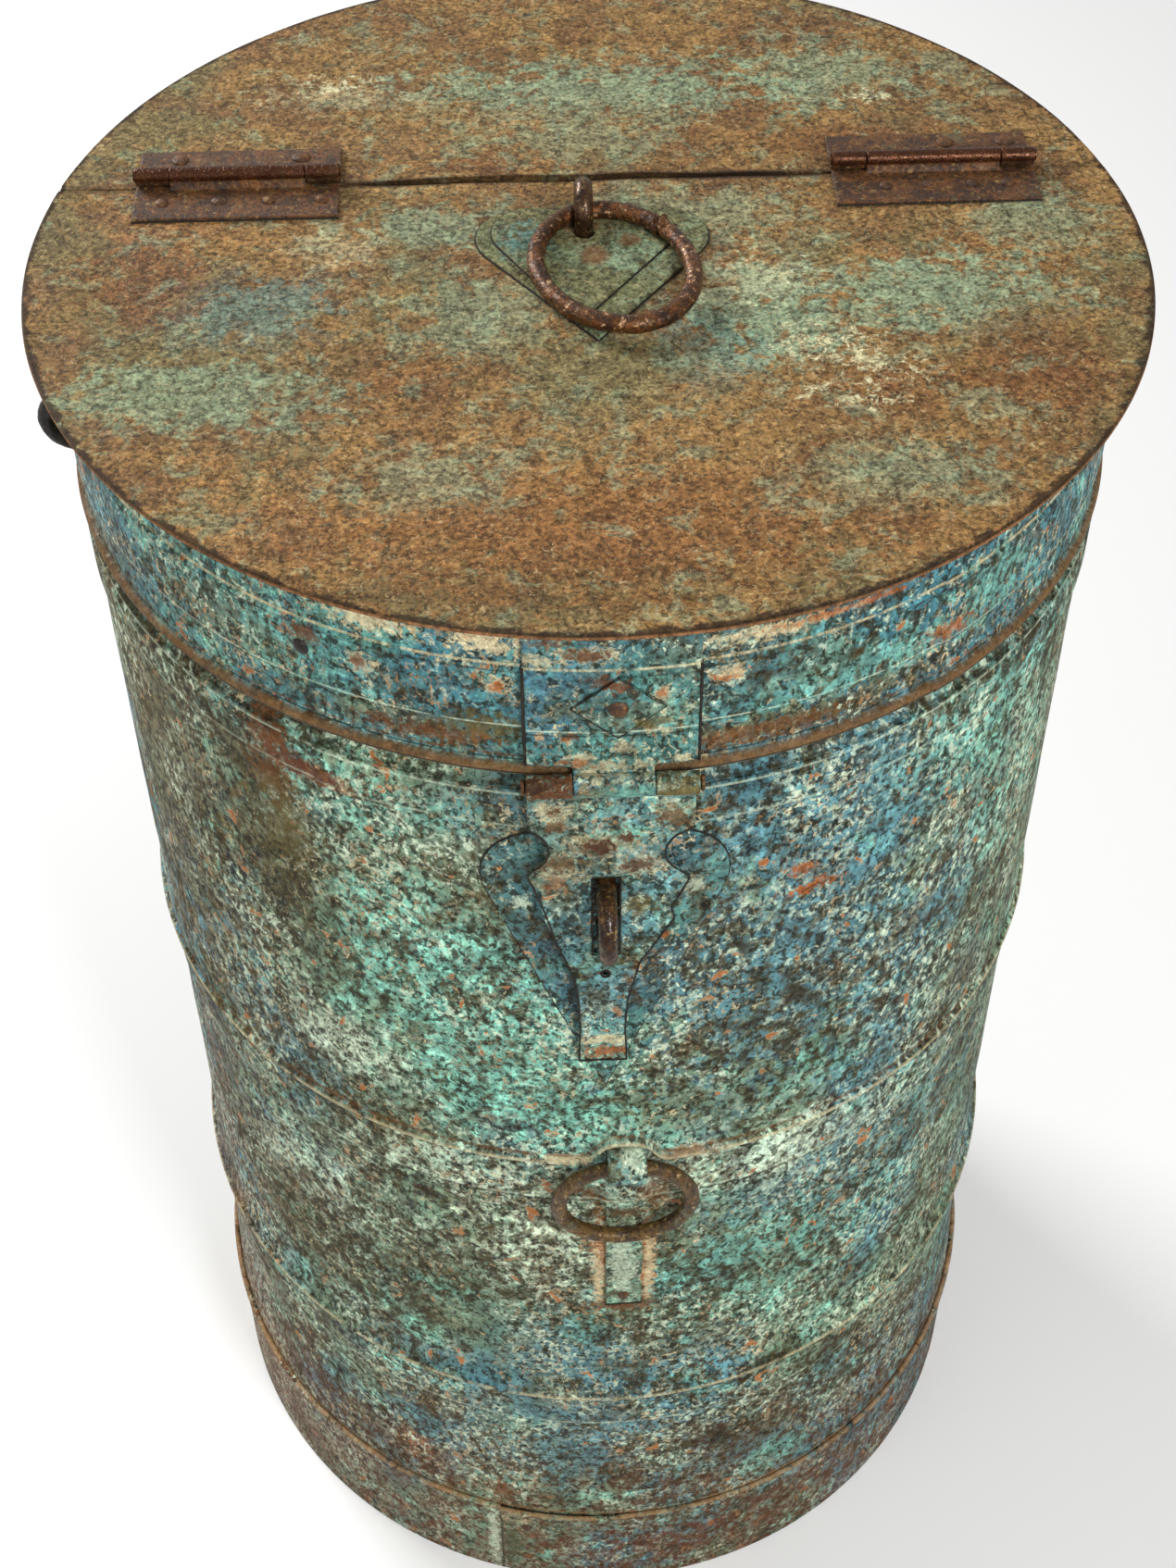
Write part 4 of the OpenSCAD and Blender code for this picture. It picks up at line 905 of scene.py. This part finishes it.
def topSheet(name, front):
    rad = lidRadius - topLook["rim"]
    edge = splitFront if front else -splitRear
    sign = -1 if front else 1
    t = np.linspace(0, math.acos(-edge / rad), topLook["rows"] + 1)
    t[0] = 0.004
    u = np.sin(np.linspace(-1, 1, topLook["columns"] + 1) * math.pi / 2)
    rowY, colU = np.meshgrid(t, u, indexing="ij")
    x = rad * np.sin(rowY) * colU
    y = -rad * np.cos(rowY)
    last = smooth(edge - 14, edge, y)
    y = y + last * splitEdge(x)
    x, y = (x, y) if front else (x, -y)
    z = lidTop + topWave(x, y)
    verts = np.stack([x, y, z], -1).reshape(-1, 3) * mm
    under = verts - np.array([0, 0, topLook["plate"] * mm])
    rows, cols = x.shape
    count = rows * cols
    faces = [(i * cols + j, i * cols + j + 1, (i + 1) * cols + j + 1, (i + 1) * cols + j)
             for i in range(rows - 1) for j in range(cols - 1)]
    faces += [tuple(k + count for k in f) for f in faces]
    border = (list(range(cols)) + [i * cols + cols - 1 for i in range(1, rows)]
              + [(rows - 1) * cols + j for j in range(cols - 2, -1, -1)]
              + [i * cols for i in range(rows - 2, 0, -1)])
    faces += [(p, q, q + count, p + count) for p, q in zip(border, border[1:] + border[:1])]
    sheetObj = meshObject(name, np.concatenate([verts, under]).tolist(), faces)
    # rolled rim and folded edge are closed skins of the same piece
    start = math.degrees(math.acos(-edge / rad))
    places = steps(-start, start, 1.0) if front else steps(180 - start, 180 + start, 1.0)

    def rimShift(turn, radius, height):
        sway = 0.5 * np.sin(turn * 9 + 1) * np.sin(turn * 4) + 0.25 * np.sin(turn * 23)
        return radius - 0.25 + 0.2 * sway, height + 0.35 * sway - 0.3
    rim = turned(name + "Rim", bead(rad, lidTop - topLook["rim"], topLook["rim"] - 0.1, 0, 345, 15), places,
                 rimShift, closed=False)
    half = topLook["hemLength"] / 2
    xs = np.linspace(-half, half, 113)
    ring = []
    for px in xs:
        yEdge = -sign * (edge + splitEdge(px))
        back = yEdge + sign * topLook["plate"]
        topZ = lidTop + float(topWave(px, yEdge)) - 0.5
        drop = lidTop - topLook["hemDepth"] + 0.6 * math.sin(px / 23)
        ring.append([(px, yEdge, topZ), (px, back, topZ), (px, back, drop), (px, yEdge, drop)])
    hemVerts = [(a * mm, b * mm, c * mm) for section in ring for a, b, c in section]
    hemFaces = [(4 * i + j, 4 * i + (j + 1) % 4, 4 * i + 4 + (j + 1) % 4, 4 * i + 4 + j)
                for i in range(len(xs) - 1) for j in range(4)]
    hemFaces += [(0, 1, 2, 3), tuple(4 * (len(xs) - 1) + j for j in range(4))]
    hem = meshObject(name + "Hem", hemVerts, hemFaces)
    return joined(sheetObj, [rim, hem])


def joined(obj, others):
    work = bmesh.new()
    for part in [obj] + others:
        work.from_mesh(part.data)
    bmesh.ops.recalc_face_normals(work, faces=work.faces)
    work.to_mesh(obj.data)
    work.free()
    for part in others:
        bpy.data.objects.remove(part)
    obj.data.shade_smooth()
    obj.data.set_sharp_from_angle(angle=math.radians(sheet["sharp"]))
    return obj


finish(topSheet("lidFlap", True), topFinish, "lid_flap")
finish(topSheet("rearTop", False), topFinish, "rear_top_plate")
print("stage: top and skirts made")


# hammered hardware, made from copies of the frame's own solids
def forged(node, name, voxel, pit, pitSize, keep=1.0, bend=None):
    source = frame["nodes"][node]
    mesh = source.data.copy()
    mesh.materials.clear()
    obj = bpy.data.objects.new(name, mesh)
    bpy.context.collection.objects.link(obj)
    work = bmesh.new()
    work.from_mesh(mesh)
    bmesh.ops.remove_doubles(work, verts=work.verts, dist=2e-6)
    work.to_mesh(mesh)
    work.free()
    remesh = obj.modifiers.new("remesh", "REMESH")
    remesh.mode = "VOXEL"
    remesh.voxel_size = voxel * mm
    if keep < 1:
        thin = obj.modifiers.new("thin", "DECIMATE")
        thin.ratio = keep
    made = bpy.data.meshes.new_from_object(obj.evaluated_get(bpy.context.evaluated_depsgraph_get()))
    obj.modifiers.clear()
    obj.data = made
    bpy.data.meshes.remove(mesh)
    n = len(made.vertices)
    points = np.empty(n * 3, dtype=np.float32)
    normals = np.empty(n * 3, dtype=np.float32)
    made.vertices.foreach_get("co", points)
    made.vertex_normals.foreach_get("vector", normals)
    points, normals = points.reshape(-1, 3).astype(float), normals.reshape(-1, 3).astype(float)
    sway = np.array([noise.noise(Vector(p) / (pitSize * mm)) * 0.6
                     + noise.noise(Vector(p) / (pitSize * 0.37 * mm)) * 0.4 for p in points])
    points += normals * (sway * pit * mm)[:, None]
    if bend:
        points = bend(points / mm) * mm
    made.vertices.foreach_set("co", points.astype(np.float32).ravel())
    made.update()
    made.shade_smooth()
    return obj


def haspBend(p):                            # pits, the raised lip over the slot and the crescent crease
    x, z = p[:, 0], p[:, 2]
    outer = p[:, 1] < -309.4
    push = np.zeros(len(p))
    for px, pz, radius, depth in haspLook["pits"]:
        push += depth * np.exp(-((x - px) ** 2 + (z - pz) ** 2) / radius ** 2)
    lip = np.exp(-((z - haspLook["lipZ"] - 0.18 * np.abs(x + 2)) / 2.4) ** 2) * smooth(20, 14, np.abs(x + 2))
    fromCrease = z - haspLook["creaseZ"] + 0.02 * (x + 3) ** 2
    crease = np.exp(-(fromCrease / 1.8) ** 2) * smooth(13, 9, np.abs(x + 3))
    p[:, 1] += np.where(outer, push * 1.0 + crease * 0.9, push * 0.25) - lip * np.where(outer, 1.9, 0.4)
    bow = smooth(940, 860, z) * smooth(708, 800, z)
    p[:, 1] -= 0.5 * bow
    waist = sum(d * np.exp(-((z - at) / half) ** 2) for at, half, d in haspLook["waist"])
    p[:, 0] = haspLook["middle"] + (x - haspLook["middle"]) * (1 + waist)
    return p


def hingeBend(p):                           # knuckles rolled tighter than the frame's plain ones
    dy, dz = p[:, 1] - hingeLook["axis"][0], p[:, 2] - hingeLook["axis"][1]
    away = np.hypot(dy, dz)
    tight = np.where(dz > -hingeLook["axisRise"] + 3.4, smooth(8.0, 6.2, away), 0)
    squeeze = 1 - tight * (1 - hingeLook["tight"])
    p[:, 1] = hingeLook["axis"][0] + dy * squeeze
    p[:, 2] = hingeLook["axis"][1] + dz * squeeze
    return p


haspLook = {"pits": [(-29, 918, 5, 1.2), (-21, 819, 3, 0.8), (17, 817, 3, 0.8), (27, 857, 3, 0.8),
                     (-33, 860, 4, 0.7), (30, 905, 5, 0.6), (-3, 776, 3, 0.7), (8, 745, 4, 0.5)],
            "lipZ": 873, "creaseZ": 793, "middle": 1.2,
            "waist": [(855, 7, -0.08), (833, 9, 0.03), (774, 20, -0.15)]}
hingeLook = {"axisRise": 8.5, "tight": 0.8,
             "axis": (splitMiddle, lidTop + 8.5)}
hardware = [                                # node, name, voxel, pit depth, pit size, kept share, finish
    ("hasp_leaf", "haspLeaf", 0.85, 0.18, 4.0, 0.6, haspPaint),
    ("hasp_upper_leaf", "haspUpperLeaf", 0.85, 0.15, 5.0, 0.6, leafPaint),
    ("hasp_staple", "haspStaple", 0.9, 0.3, 4.0, 1.0, iron["stapleIron"]),
    ("side_staple", "sideStaple", 1.1, 0.5, 5.0, 1.0, iron["blackIron"]),
    ("lid_staple", "lidStaple", 0.9, 0.3, 4.0, 1.0, iron["stapleIron"]),
    ("front_ring_strap", "ringStrap", 0.85, 0.2, 5.0, 0.6, haspPaint),
    ("lid_heart_plate", "lidHeartPlate", 0.75, 0.12, 6.0, 0.35, heartTop),
    ("lid_inner_plate", "lidInnerPlate", 0.75, 0.12, 6.0, 0.35, heartTop),
    ("hasp_heart_plate", "haspHeartPlate", 0.75, 0.12, 8.0, 0.35, platePaint),
    ("hasp_diamond_washer", "diamondWasher", 0.7, 0.2, 5.0, 0.7, leafPaint),
    *((f"{side}_hinge_{row}_leaf", f"{side}Hinge{row.title()}Leaf", 0.75, 0.13, 5.0, 0.5, iron["hingeIron"])
      for row in ("rear", "front") for side in ("left", "right")),
    ("hasp_pin", "haspPin", 0.7, 0.2, 3.0, 1.0, iron["hingeIron"]),
    ("hasp_rivet", "haspRivet", 0.5, 0.25, 3.0, 1.0, iron["hingeIron"]),
]
for node, name, voxel, pit, pitSize, keep, finishMaterial in hardware:
    bend = {"hasp_leaf": haspBend}.get(node, hingeBend if "hinge" in node else None)
    finish(forged(node, name, voxel, pit, pitSize, keep, bend), finishMaterial, node)
print("stage: hardware forged")


# geometry node trees
def placeNoise(t, scale, offset):
    place = t.grow("InputPosition")
    moved = t.add("ShaderNodeVectorMath", operation="ADD")
    t.put(moved.inputs[0], place)
    t.put(moved.inputs[1], offset)
    return t.add("ShaderNodeTexNoise", {"Vector": moved.outputs[0], "Scale": scale, "Detail": 3.0,
                                        "Roughness": 0.6}).outputs["Fac"]


def pushOut(t, geometry, depth, scale, offset):  # moves points along their normals by noise
    field = placeNoise(t, scale, offset)
    centred = t.minus(field, 0.5)
    amount = t.times(centred, depth)
    normal = t.grow("InputNormal")
    along = t.add("ShaderNodeVectorMath", operation="SCALE")
    t.put(along.inputs[0], normal)
    t.put(along.inputs["Scale"], amount)
    move = t.add("GeometryNodeSetPosition")
    t.put(move.inputs["Geometry"], geometry)
    t.put(move.inputs["Offset"], along.outputs[0])
    return move.outputs[0]


def closeTree(t, out, geometry, material):
    soft = t.grow("SetShadeSmooth", {"Geometry": geometry})
    real = t.grow("RealizeInstances", {"Geometry": soft})
    done = t.grow("SetMaterial", {"Geometry": real, "Material": material})
    t.put(out["Geometry"], done)


geometrySocket = "NodeSocketGeometry"


def buildBarRing():                         # a round bar bent into an oval, hammered and pitted
    tree, t, inp, out = newGroup(
        "barRing", [("Geometry", geometrySocket, None), ("Half Width", floatSocket, 0.04),
                    ("Half Length", floatSocket, 0.04), ("Bar Radius", floatSocket, 0.005),
                    ("Pit Depth", floatSocket, 0.0008), ("Pit Scale", floatSocket, 160.0),
                    ("Seed", floatSocket, 1.0), ("Material", "NodeSocketMaterial", None)],
        [("Geometry", geometrySocket)], "GeometryNodeTree")
    circle = t.grow("CurvePrimitiveCircle", {"Resolution": 240, "Radius": 1.0})
    size = t.vector(inp["Half Width"], inp["Half Length"], 1.0)
    oval = t.grow("Transform", {"Geometry": circle, "Scale": size})
    section = t.grow("CurvePrimitiveCircle", {"Resolution": 22, "Radius": inp["Bar Radius"]})
    bar = t.grow("CurveToMesh", {"Curve": oval, "Profile Curve": section})
    offset = t.vector(inp["Seed"], 0.0, 0.0)
    pitted = pushOut(t, bar, inp["Pit Depth"], inp["Pit Scale"], offset)
    coarse = pushOut(t, pitted, inp["Pit Depth"], t.times(inp["Pit Scale"], 0.3), offset)
    closeTree(t, out, coarse, inp["Material"])
    return tree


def buildRivets():                          # a hammered head on every point, turned along "facing"
    tree, t, inp, out = newGroup(
        "rivetHeads", [("Geometry", geometrySocket, None), ("Head Radius", floatSocket, 0.0045),
                       ("Head Height", floatSocket, 0.0024), ("Hammering", floatSocket, 0.0008),
                       ("Seed", "NodeSocketInt", 1), ("Material", "NodeSocketMaterial", None)],
        [("Geometry", geometrySocket)], "GeometryNodeTree")
    ball = t.add("GeometryNodeMeshUVSphere", {"Segments": 20, "Rings": 12, "Radius": 1.0}).outputs["Mesh"]
    size = t.vector(inp["Head Radius"], inp["Head Radius"], inp["Head Height"])
    head = t.grow("Transform", {"Geometry": ball, "Scale": size})
    facing = t.grow("InputNamedAttribute", {"Name": "facing"}, data_type="FLOAT_VECTOR")
    aligned = t.add("FunctionNodeAlignRotationToVector", {"Vector": facing}, axis="Z").outputs[0]
    spread = t.add("FunctionNodeRandomValue", {"Min": (0.88, 0.88, 0.9), "Max": (1.1, 1.1, 1.05),
                                               "Seed": inp["Seed"]}, data_type="FLOAT_VECTOR").outputs[0]
    points = t.grow("MeshToPoints", {"Mesh": inp["Geometry"]})
    heads = t.grow("InstanceOnPoints", {"Points": points, "Instance": head, "Rotation": aligned,
                                                   "Scale": spread})
    real = t.grow("RealizeInstances", {"Geometry": heads})
    beaten = pushOut(t, real, inp["Hammering"], 330.0, (0.0, 0.0, 0.0))
    closeTree(t, out, beaten, inp["Material"])
    return tree


def buildSeam():                            # dark beads along the outline of a plate: dirt and rust, and painted shade of the gap under its edge
    tree, t, inp, out = newGroup(
        "dirtAndShadeSeam", [("Geometry", geometrySocket, None), ("Bead Radius", floatSocket, 0.0007),
                     ("Spacing", floatSocket, 0.0016), ("Wander", floatSocket, 0.001),
                     ("Seed", floatSocket, 1.0), ("Material", "NodeSocketMaterial", None)],
        [("Geometry", geometrySocket)], "GeometryNodeTree")
    curve = t.grow("MeshToCurve", {"Mesh": inp["Geometry"]})
    even = t.grow("ResampleCurve", {"Curve": curve, "Length": inp["Spacing"]}, mode="LENGTH")
    offset = t.vector(inp["Seed"], 0.0, 0.0)
    thick = t.between(placeNoise(t, 110.0, offset), 0.34, 0.66, 0.35, 1.0)
    sized = t.grow("SetCurveRadius", {"Curve": even, "Radius": thick})
    section = t.grow("CurvePrimitiveCircle", {"Resolution": 6, "Radius": inp["Bead Radius"]})
    bead = t.add("GeometryNodeCurveToMesh", {"Curve": sized, "Profile Curve": section, "Fill Caps": True})
    uneven = pushOut(t, bead.outputs[0], inp["Wander"], 400.0, offset)
    closeTree(t, out, uneven, inp["Material"])
    return tree


def grown(name, source, tree, values):      # runs a tree on a mesh and keeps the result as plain mesh
    obj = source or meshObject(name, [(0, 0, 0)], [])
    modifier = obj.modifiers.new("grow", "NODES")
    modifier.node_group = tree
    keys = {item.name: item.identifier for item in tree.interface.items_tree
            if item.in_out == "INPUT" and item.name != "Geometry"}
    for label, value in values.items():
        modifier[keys[label]] = value
    bpy.context.view_layer.update()
    result = bpy.data.meshes.new_from_object(obj.evaluated_get(bpy.context.evaluated_depsgraph_get()))
    obj.modifiers.remove(modifier)
    if source and source.name in frame["nodes"]:
        raise RuntimeError("a frame node was changed")
    made = bpy.data.objects.new(name, result)
    bpy.context.collection.objects.link(made)
    if source is None:
        bpy.data.objects.remove(obj)
    return made


barRingTree, rivetTree, seamTree = buildBarRing(), buildRivets(), buildSeam()
lidRingLook = {"Half Width": 42.8, "Half Length": 56.3, "Bar Radius": 5.1, "Pit Depth": 1.5, "turn": 16,
               "joint": (40.4, 5.8, 1.2, 3.6), "notch": 2.2}
dragRingLook = {"Half Width": 42.3, "Half Length": 42.3, "Bar Radius": 5.1, "Pit Depth": 0.9, "lean": 3.1,
                "loopRadius": 313.9, "frameBar": 5.2}


def ringFrom(name, node, look, place, material, seed):
    values = {k: v * mm for k, v in look.items() if k[0].isupper()}
    values.update({"Pit Scale": 150.0, "Seed": float(seed), "Material": material})
    made = grown(name, None, barRingTree, values)
    made.data.transform(place)
    if "joint" in look:                     # the bar's ends meet in a notch with a raised spur
        x, y, half, rise = look["joint"]
        middle = sum((v.co for v in made.data.vertices), Vector()) / len(made.data.vertices)
        for v in made.data.vertices:
            away = math.hypot(v.co.x / mm - x, v.co.y / mm - y)
            turn = math.atan2(v.co.y - middle.y, v.co.x - middle.x)
            at = math.atan2(y * mm - middle.y, x * mm - middle.x)
            along = (turn - at) * math.hypot(v.co.x - middle.x, v.co.y - middle.y) / mm
            if away < 12:
                spur = rise * math.exp(-(along / half) ** 2)
                notch = look["notch"] * math.exp(-((along - 2.8) / half) ** 2)
                v.co.z += (spur - notch) * mm
    outward(made, 60)
    return finish(made, material, node)


ovalTurn = Matrix.Rotation(math.radians(lidRingLook["turn"]), 4, "Z")
staplePoint = Vector(((low("lid_staple")[0] + high("lid_staple")[0]) / 2,
                      (low("lid_staple")[1] + high("lid_staple")[1]) / 2,
                      (low("lid_ring")[2] + high("lid_ring")[2]) / 2)) * mm
hung = Matrix.Translation((0, -lidRingLook["Half Length"] * mm, 0))
place = Matrix.Translation(staplePoint) @ ovalTurn @ hung
ringFrom("lidRing", "lid_ring", lidRingLook, place, iron["ringIron"], 3)
loopPoint = (0, -dragRingLook["loopRadius"] * mm, (high("front_ring")[2] - dragRingLook["frameBar"]) * mm)
lean = (Matrix.Rotation(strapAngle, 4, "Z") @ Matrix.Translation(loopPoint)
        @ Matrix.Rotation(math.radians(dragRingLook["lean"]), 4, "X"))
hung = Matrix.Translation((0, 0, -dragRingLook["Half Width"] * mm))
place = lean @ hung @ Matrix.Rotation(math.pi / 2, 4, "X")
ringFrom("dragRing", "front_ring", dragRingLook, place, iron["dragRingIron"], 8)


seamLook = {"Spacing": 1.6, "Wander": 1.0}
wallSeat, topSeat = 303.4, lidTop + 0.1
leafSides = low("hasp_upper_leaf")[0] + 2.5, high("hasp_upper_leaf")[0] - 2.5


def onTop(p):
    return p.z < topSeat + 0.4


seams = [                                   # name, node, which edges, bead radius
    ("heartPlateSeam", "hasp_heart_plate", lambda p: math.hypot(p.x, p.y) < wallSeat + 0.5, 0.8),
    ("lidHeartSeam", "lid_heart_plate", onTop, 0.8),
    ("lidInnerSeam", "lid_inner_plate", lambda p: p.z < topSeat + 2.0, 0.8),
    ("strapSeam", "front_ring_strap", lambda p: p.z < 560 and p.y < 0 and math.hypot(p.x, p.y) < 306, 0.8),
    *((f"{side}HingeSeam", f"{side}_hinge_front_leaf", lambda p: p.y < 60 and onTop(p), 0.8)
      for side in ("left", "right")),
    *((f"{side}RearHingeSeam", f"{side}_hinge_rear_leaf", lambda p: p.y > 92 and onTop(p), 0.8)
      for side in ("left", "right")),
    ("haspSeam", "hasp_leaf", lambda p: p.y < -308.4 and p.z < 938, 0.55),
    # the left seam of the upper leaf is painted shadow of the leaf on the wall beside it
    ("upperLeafLeftSeam", "hasp_upper_leaf", lambda p: 952 < p.z < 1044 and p.x < leafSides[0], 0.9),
    ("upperLeafRightSeam", "hasp_upper_leaf", lambda p: 952 < p.z < 1044 and p.x > leafSides[1], 0.8),
    ("washerSeam", "hasp_diamond_washer", lambda p: True, 0.22),
]


def outlineOf(name, node, wanted):          # sharp edges of a copy of a node, where it sits on the sheet
    work = bmesh.new()
    work.from_mesh(frame["nodes"][node].data)
    bmesh.ops.remove_doubles(work, verts=work.verts, dist=2e-6)
    kept = [e for e in work.edges if len(e.link_faces) == 2 and e.calc_face_angle() > 0.7
            and all(wanted(v.co / mm) for v in e.verts)]
    index = {v: i for i, v in enumerate(dict.fromkeys(v for e in kept for v in e.verts))}  # in a fixed order
    obj = meshObject(name, [], [])
    obj.data.from_pydata([v.co[:] for v in index], [(index[e.verts[0]], index[e.verts[1]]) for e in kept], [])
    work.free()
    return obj


for number, (name, node, wanted, radius) in enumerate(seams):
    source = outlineOf(name + "Line", node, wanted)
    if node == "hasp_leaf":
        bent = haspBend(np.array([v.co[:] for v in source.data.vertices]) / mm) * mm
        source.data.vertices.foreach_set("co", bent.astype(np.float32).ravel())
    values = {k: v * mm for k, v in seamLook.items()}
    values.update({"Bead Radius": radius * mm, "Seed": float(number), "Material": iron["seamDirtAndShade"]})
    made = grown(name, source, seamTree, values)
    bpy.data.objects.remove(source)
    outward(made, 60)
    finish(made, iron["seamDirtAndShade"], node, keep=True)
print("stage: seams grown")


def rivetRow(name, node, spots, radius, height, material):
    obj = meshObject(name + "Points", [(p * mm) for p, _ in spots], [])
    facing = obj.data.attributes.new("facing", "FLOAT_VECTOR", "POINT")
    facing.data.foreach_set("vector", [c for _, d in spots for c in d])
    made = grown(name, obj, rivetTree, {"Head Radius": radius * mm, "Head Height": height * mm,
                                        "Hammering": 0.5 * mm, "Seed": 5, "Material": material})
    bpy.data.objects.remove(obj)
    outward(made, 60)
    return finish(made, material, node)


def onWall(degrees, height, radius):
    a = math.radians(degrees)
    spot = Vector((radius * math.sin(a), -radius * math.cos(a), height))
    return spot, Vector((math.sin(a), -math.cos(a), 0))


def wallFace(degrees, height, radius):      # follows the dents of the wall below the rivet
    turn = math.radians(degrees)
    moved, _ = wallShift(*(np.array([float(v)]) for v in (turn, radius, height)))
    return onWall(degrees, height, float(moved[0]))


up = Vector((0, 0, 1))
hingeTop = lidTop + 2.2
leafRivets = {
    "left_front_leaf_rivets": ("leftFrontLeafRivets", (-247, -214, -185, -154), 57, 4.2),
    "right_front_leaf_rivets": ("rightFrontLeafRivets", (177, 203, 228, 249), 57, 4.2),
    "left_rear_leaf_rivets": ("leftRearLeafRivets", (-240, -168), 102, 5.5),
    "right_rear_leaf_rivets": ("rightRearLeafRivets", (218, 254), 102, 5.5),
}
for node, (name, xs, y, radius) in leafRivets.items():
    rivetRow(name, node, [(Vector((x, y, hingeTop)), up) for x in xs], radius, 2.0, iron["hingeIron"])
bandSpots = [wallFace(a, z, face) for a, face in ((-12, foot + 3.7 + gap), (178, foot + 2.1))
             for z in (84, 34)]
rivetRow("baseBandRivets", "base_band_rivets", bandSpots, 4.5, 2.3, iron["hingeIron"])
rivetRow("upperHoopRivets", "upper_hoop_rivets", [wallFace(-29.9, 907, 306.9), wallFace(176, 907, 305.7)],
         4.5, 2.4, iron["hingeIron"])
rivetRow("rearSkirtRivets", "rear_skirt_rivets", [onWall(a, 962, 303.1) for a in (110, 145, 180, 215, 250)],
         4.5, 2.4, iron["hingeIron"])
rivetRow("lidSkirtRivet", "lid_skirt_rivet", [onWall(-30.8, 1000, 305.1)], 5.0, 2.5, iron["blackIron"])
rivetRow("strapRivet", "front_strap_rivet", [onWall(math.degrees(strapAngle), 428, 303.5)], 4.0, 2.1,
         iron["hingeIron"])
print("stage: rings and rivets grown")


# finishes for the frame's own solids that stay
for node, material in (("bottom_plate", iron["innerIron"]), ("mouth_wire", iron["innerIron"]),
                       ("left_hinge_pin", iron["hingeIron"]), ("right_hinge_pin", iron["hingeIron"]),
                       ("hasp_heart_rivets", haspPaint)):
    obj = frame["nodes"][node]
    obj.data.materials.clear()
    obj.data.materials.append(material)


# studio
studio = {"floor": "#efefee", "floorGlow": 0.13, "floorSize": 9.0, "sky": 0.34, "aim": (0, 0, 0.6),
          "lamps": [                        # name, place, size and power
              ("keyLamp", (1.2, -2.4, 2.55), 0.9, 63), ("fillLamp", (-2.2, -1.9, 1.8), 1.8, 10),
              ("rearLamp", (-2.3, 2.2, 2.6), 1.4, 118)]}


def buildStudio():
    material, t, shader, _ = newMaterial("paleFloor")
    shader.inputs["Base Color"].default_value = tone(studio["floor"])
    shader.inputs["Roughness"].default_value = 0.9
    shader.inputs["Emission Color"].default_value = (1, 1, 1, 1)
    seen = t.add("ShaderNodeLightPath").outputs["Is Camera Ray"]
    t.put(shader.inputs["Emission Strength"], t.times(seen, studio["floorGlow"]))
    half = studio["floorSize"] / 2
    floor = meshObject("floor", [(-half, -half, 0), (half, -half, 0), (half, half, 0), (-half, half, 0)],
                       [(0, 1, 2, 3)])
    floor.data.materials.append(material)
    world = bpy.data.worlds.new("softSky")
    world.use_nodes = True
    t = TreeMaker(world.node_tree)
    world.node_tree.nodes.clear()
    rays = t.add("ShaderNodeLightPath").outputs
    seen = t.math("MAXIMUM", rays["Is Camera Ray"], t.times(rays["Is Glossy Ray"], 0.35))
    strength = t.plus(t.times(seen, 1.0 - studio["sky"]), studio["sky"])
    sky = t.add("ShaderNodeBackground", {"Color": (1, 1, 1, 1), "Strength": strength})
    t.put(t.add("ShaderNodeOutputWorld").inputs["Surface"], sky.outputs[0])
    bpy.context.scene.world = world
    for name, spot, size, power in studio["lamps"]:
        data = bpy.data.lights.new(name, "AREA")
        data.size, data.energy = size, power
        lamp = bpy.data.objects.new(name, data)
        bpy.context.collection.objects.link(lamp)
        lamp.location = spot
        aim = Vector(studio["aim"]) - Vector(spot)
        lamp.rotation_euler = aim.to_track_quat("-Z", "Y").to_euler()


view = {"place": (-35.3, -1143.6, 1832.9), "yaw": 0.0287, "pitch": 0.8185, "roll": -0.0085, "lens": 54.31}


def buildCamera():
    data = bpy.data.cameras.new("camera")
    data.lens, data.sensor_width = view["lens"], 36
    camera = bpy.data.objects.new("camera", data)
    bpy.context.collection.objects.link(camera)
    yaw, pitch, roll = view["yaw"], view["pitch"], view["roll"]
    ahead = Vector((math.sin(yaw) * math.cos(pitch), math.cos(yaw) * math.cos(pitch), -math.sin(pitch)))
    right = Vector((math.cos(yaw), -math.sin(yaw), 0))
    above = right.cross(ahead)
    across = math.cos(roll) * right + math.sin(roll) * above
    above = math.cos(roll) * above - math.sin(roll) * right
    turn = Matrix((across, above, -ahead)).transposed().to_4x4()
    camera.matrix_world = Matrix.Translation(Vector(view["place"]) * mm) @ turn
    data.clip_start, data.clip_end = 0.05, 30
    bpy.context.scene.camera = camera


buildStudio()
buildCamera()
bpy.context.scene.view_settings.view_transform = "Standard"
print("stage: studio ready")
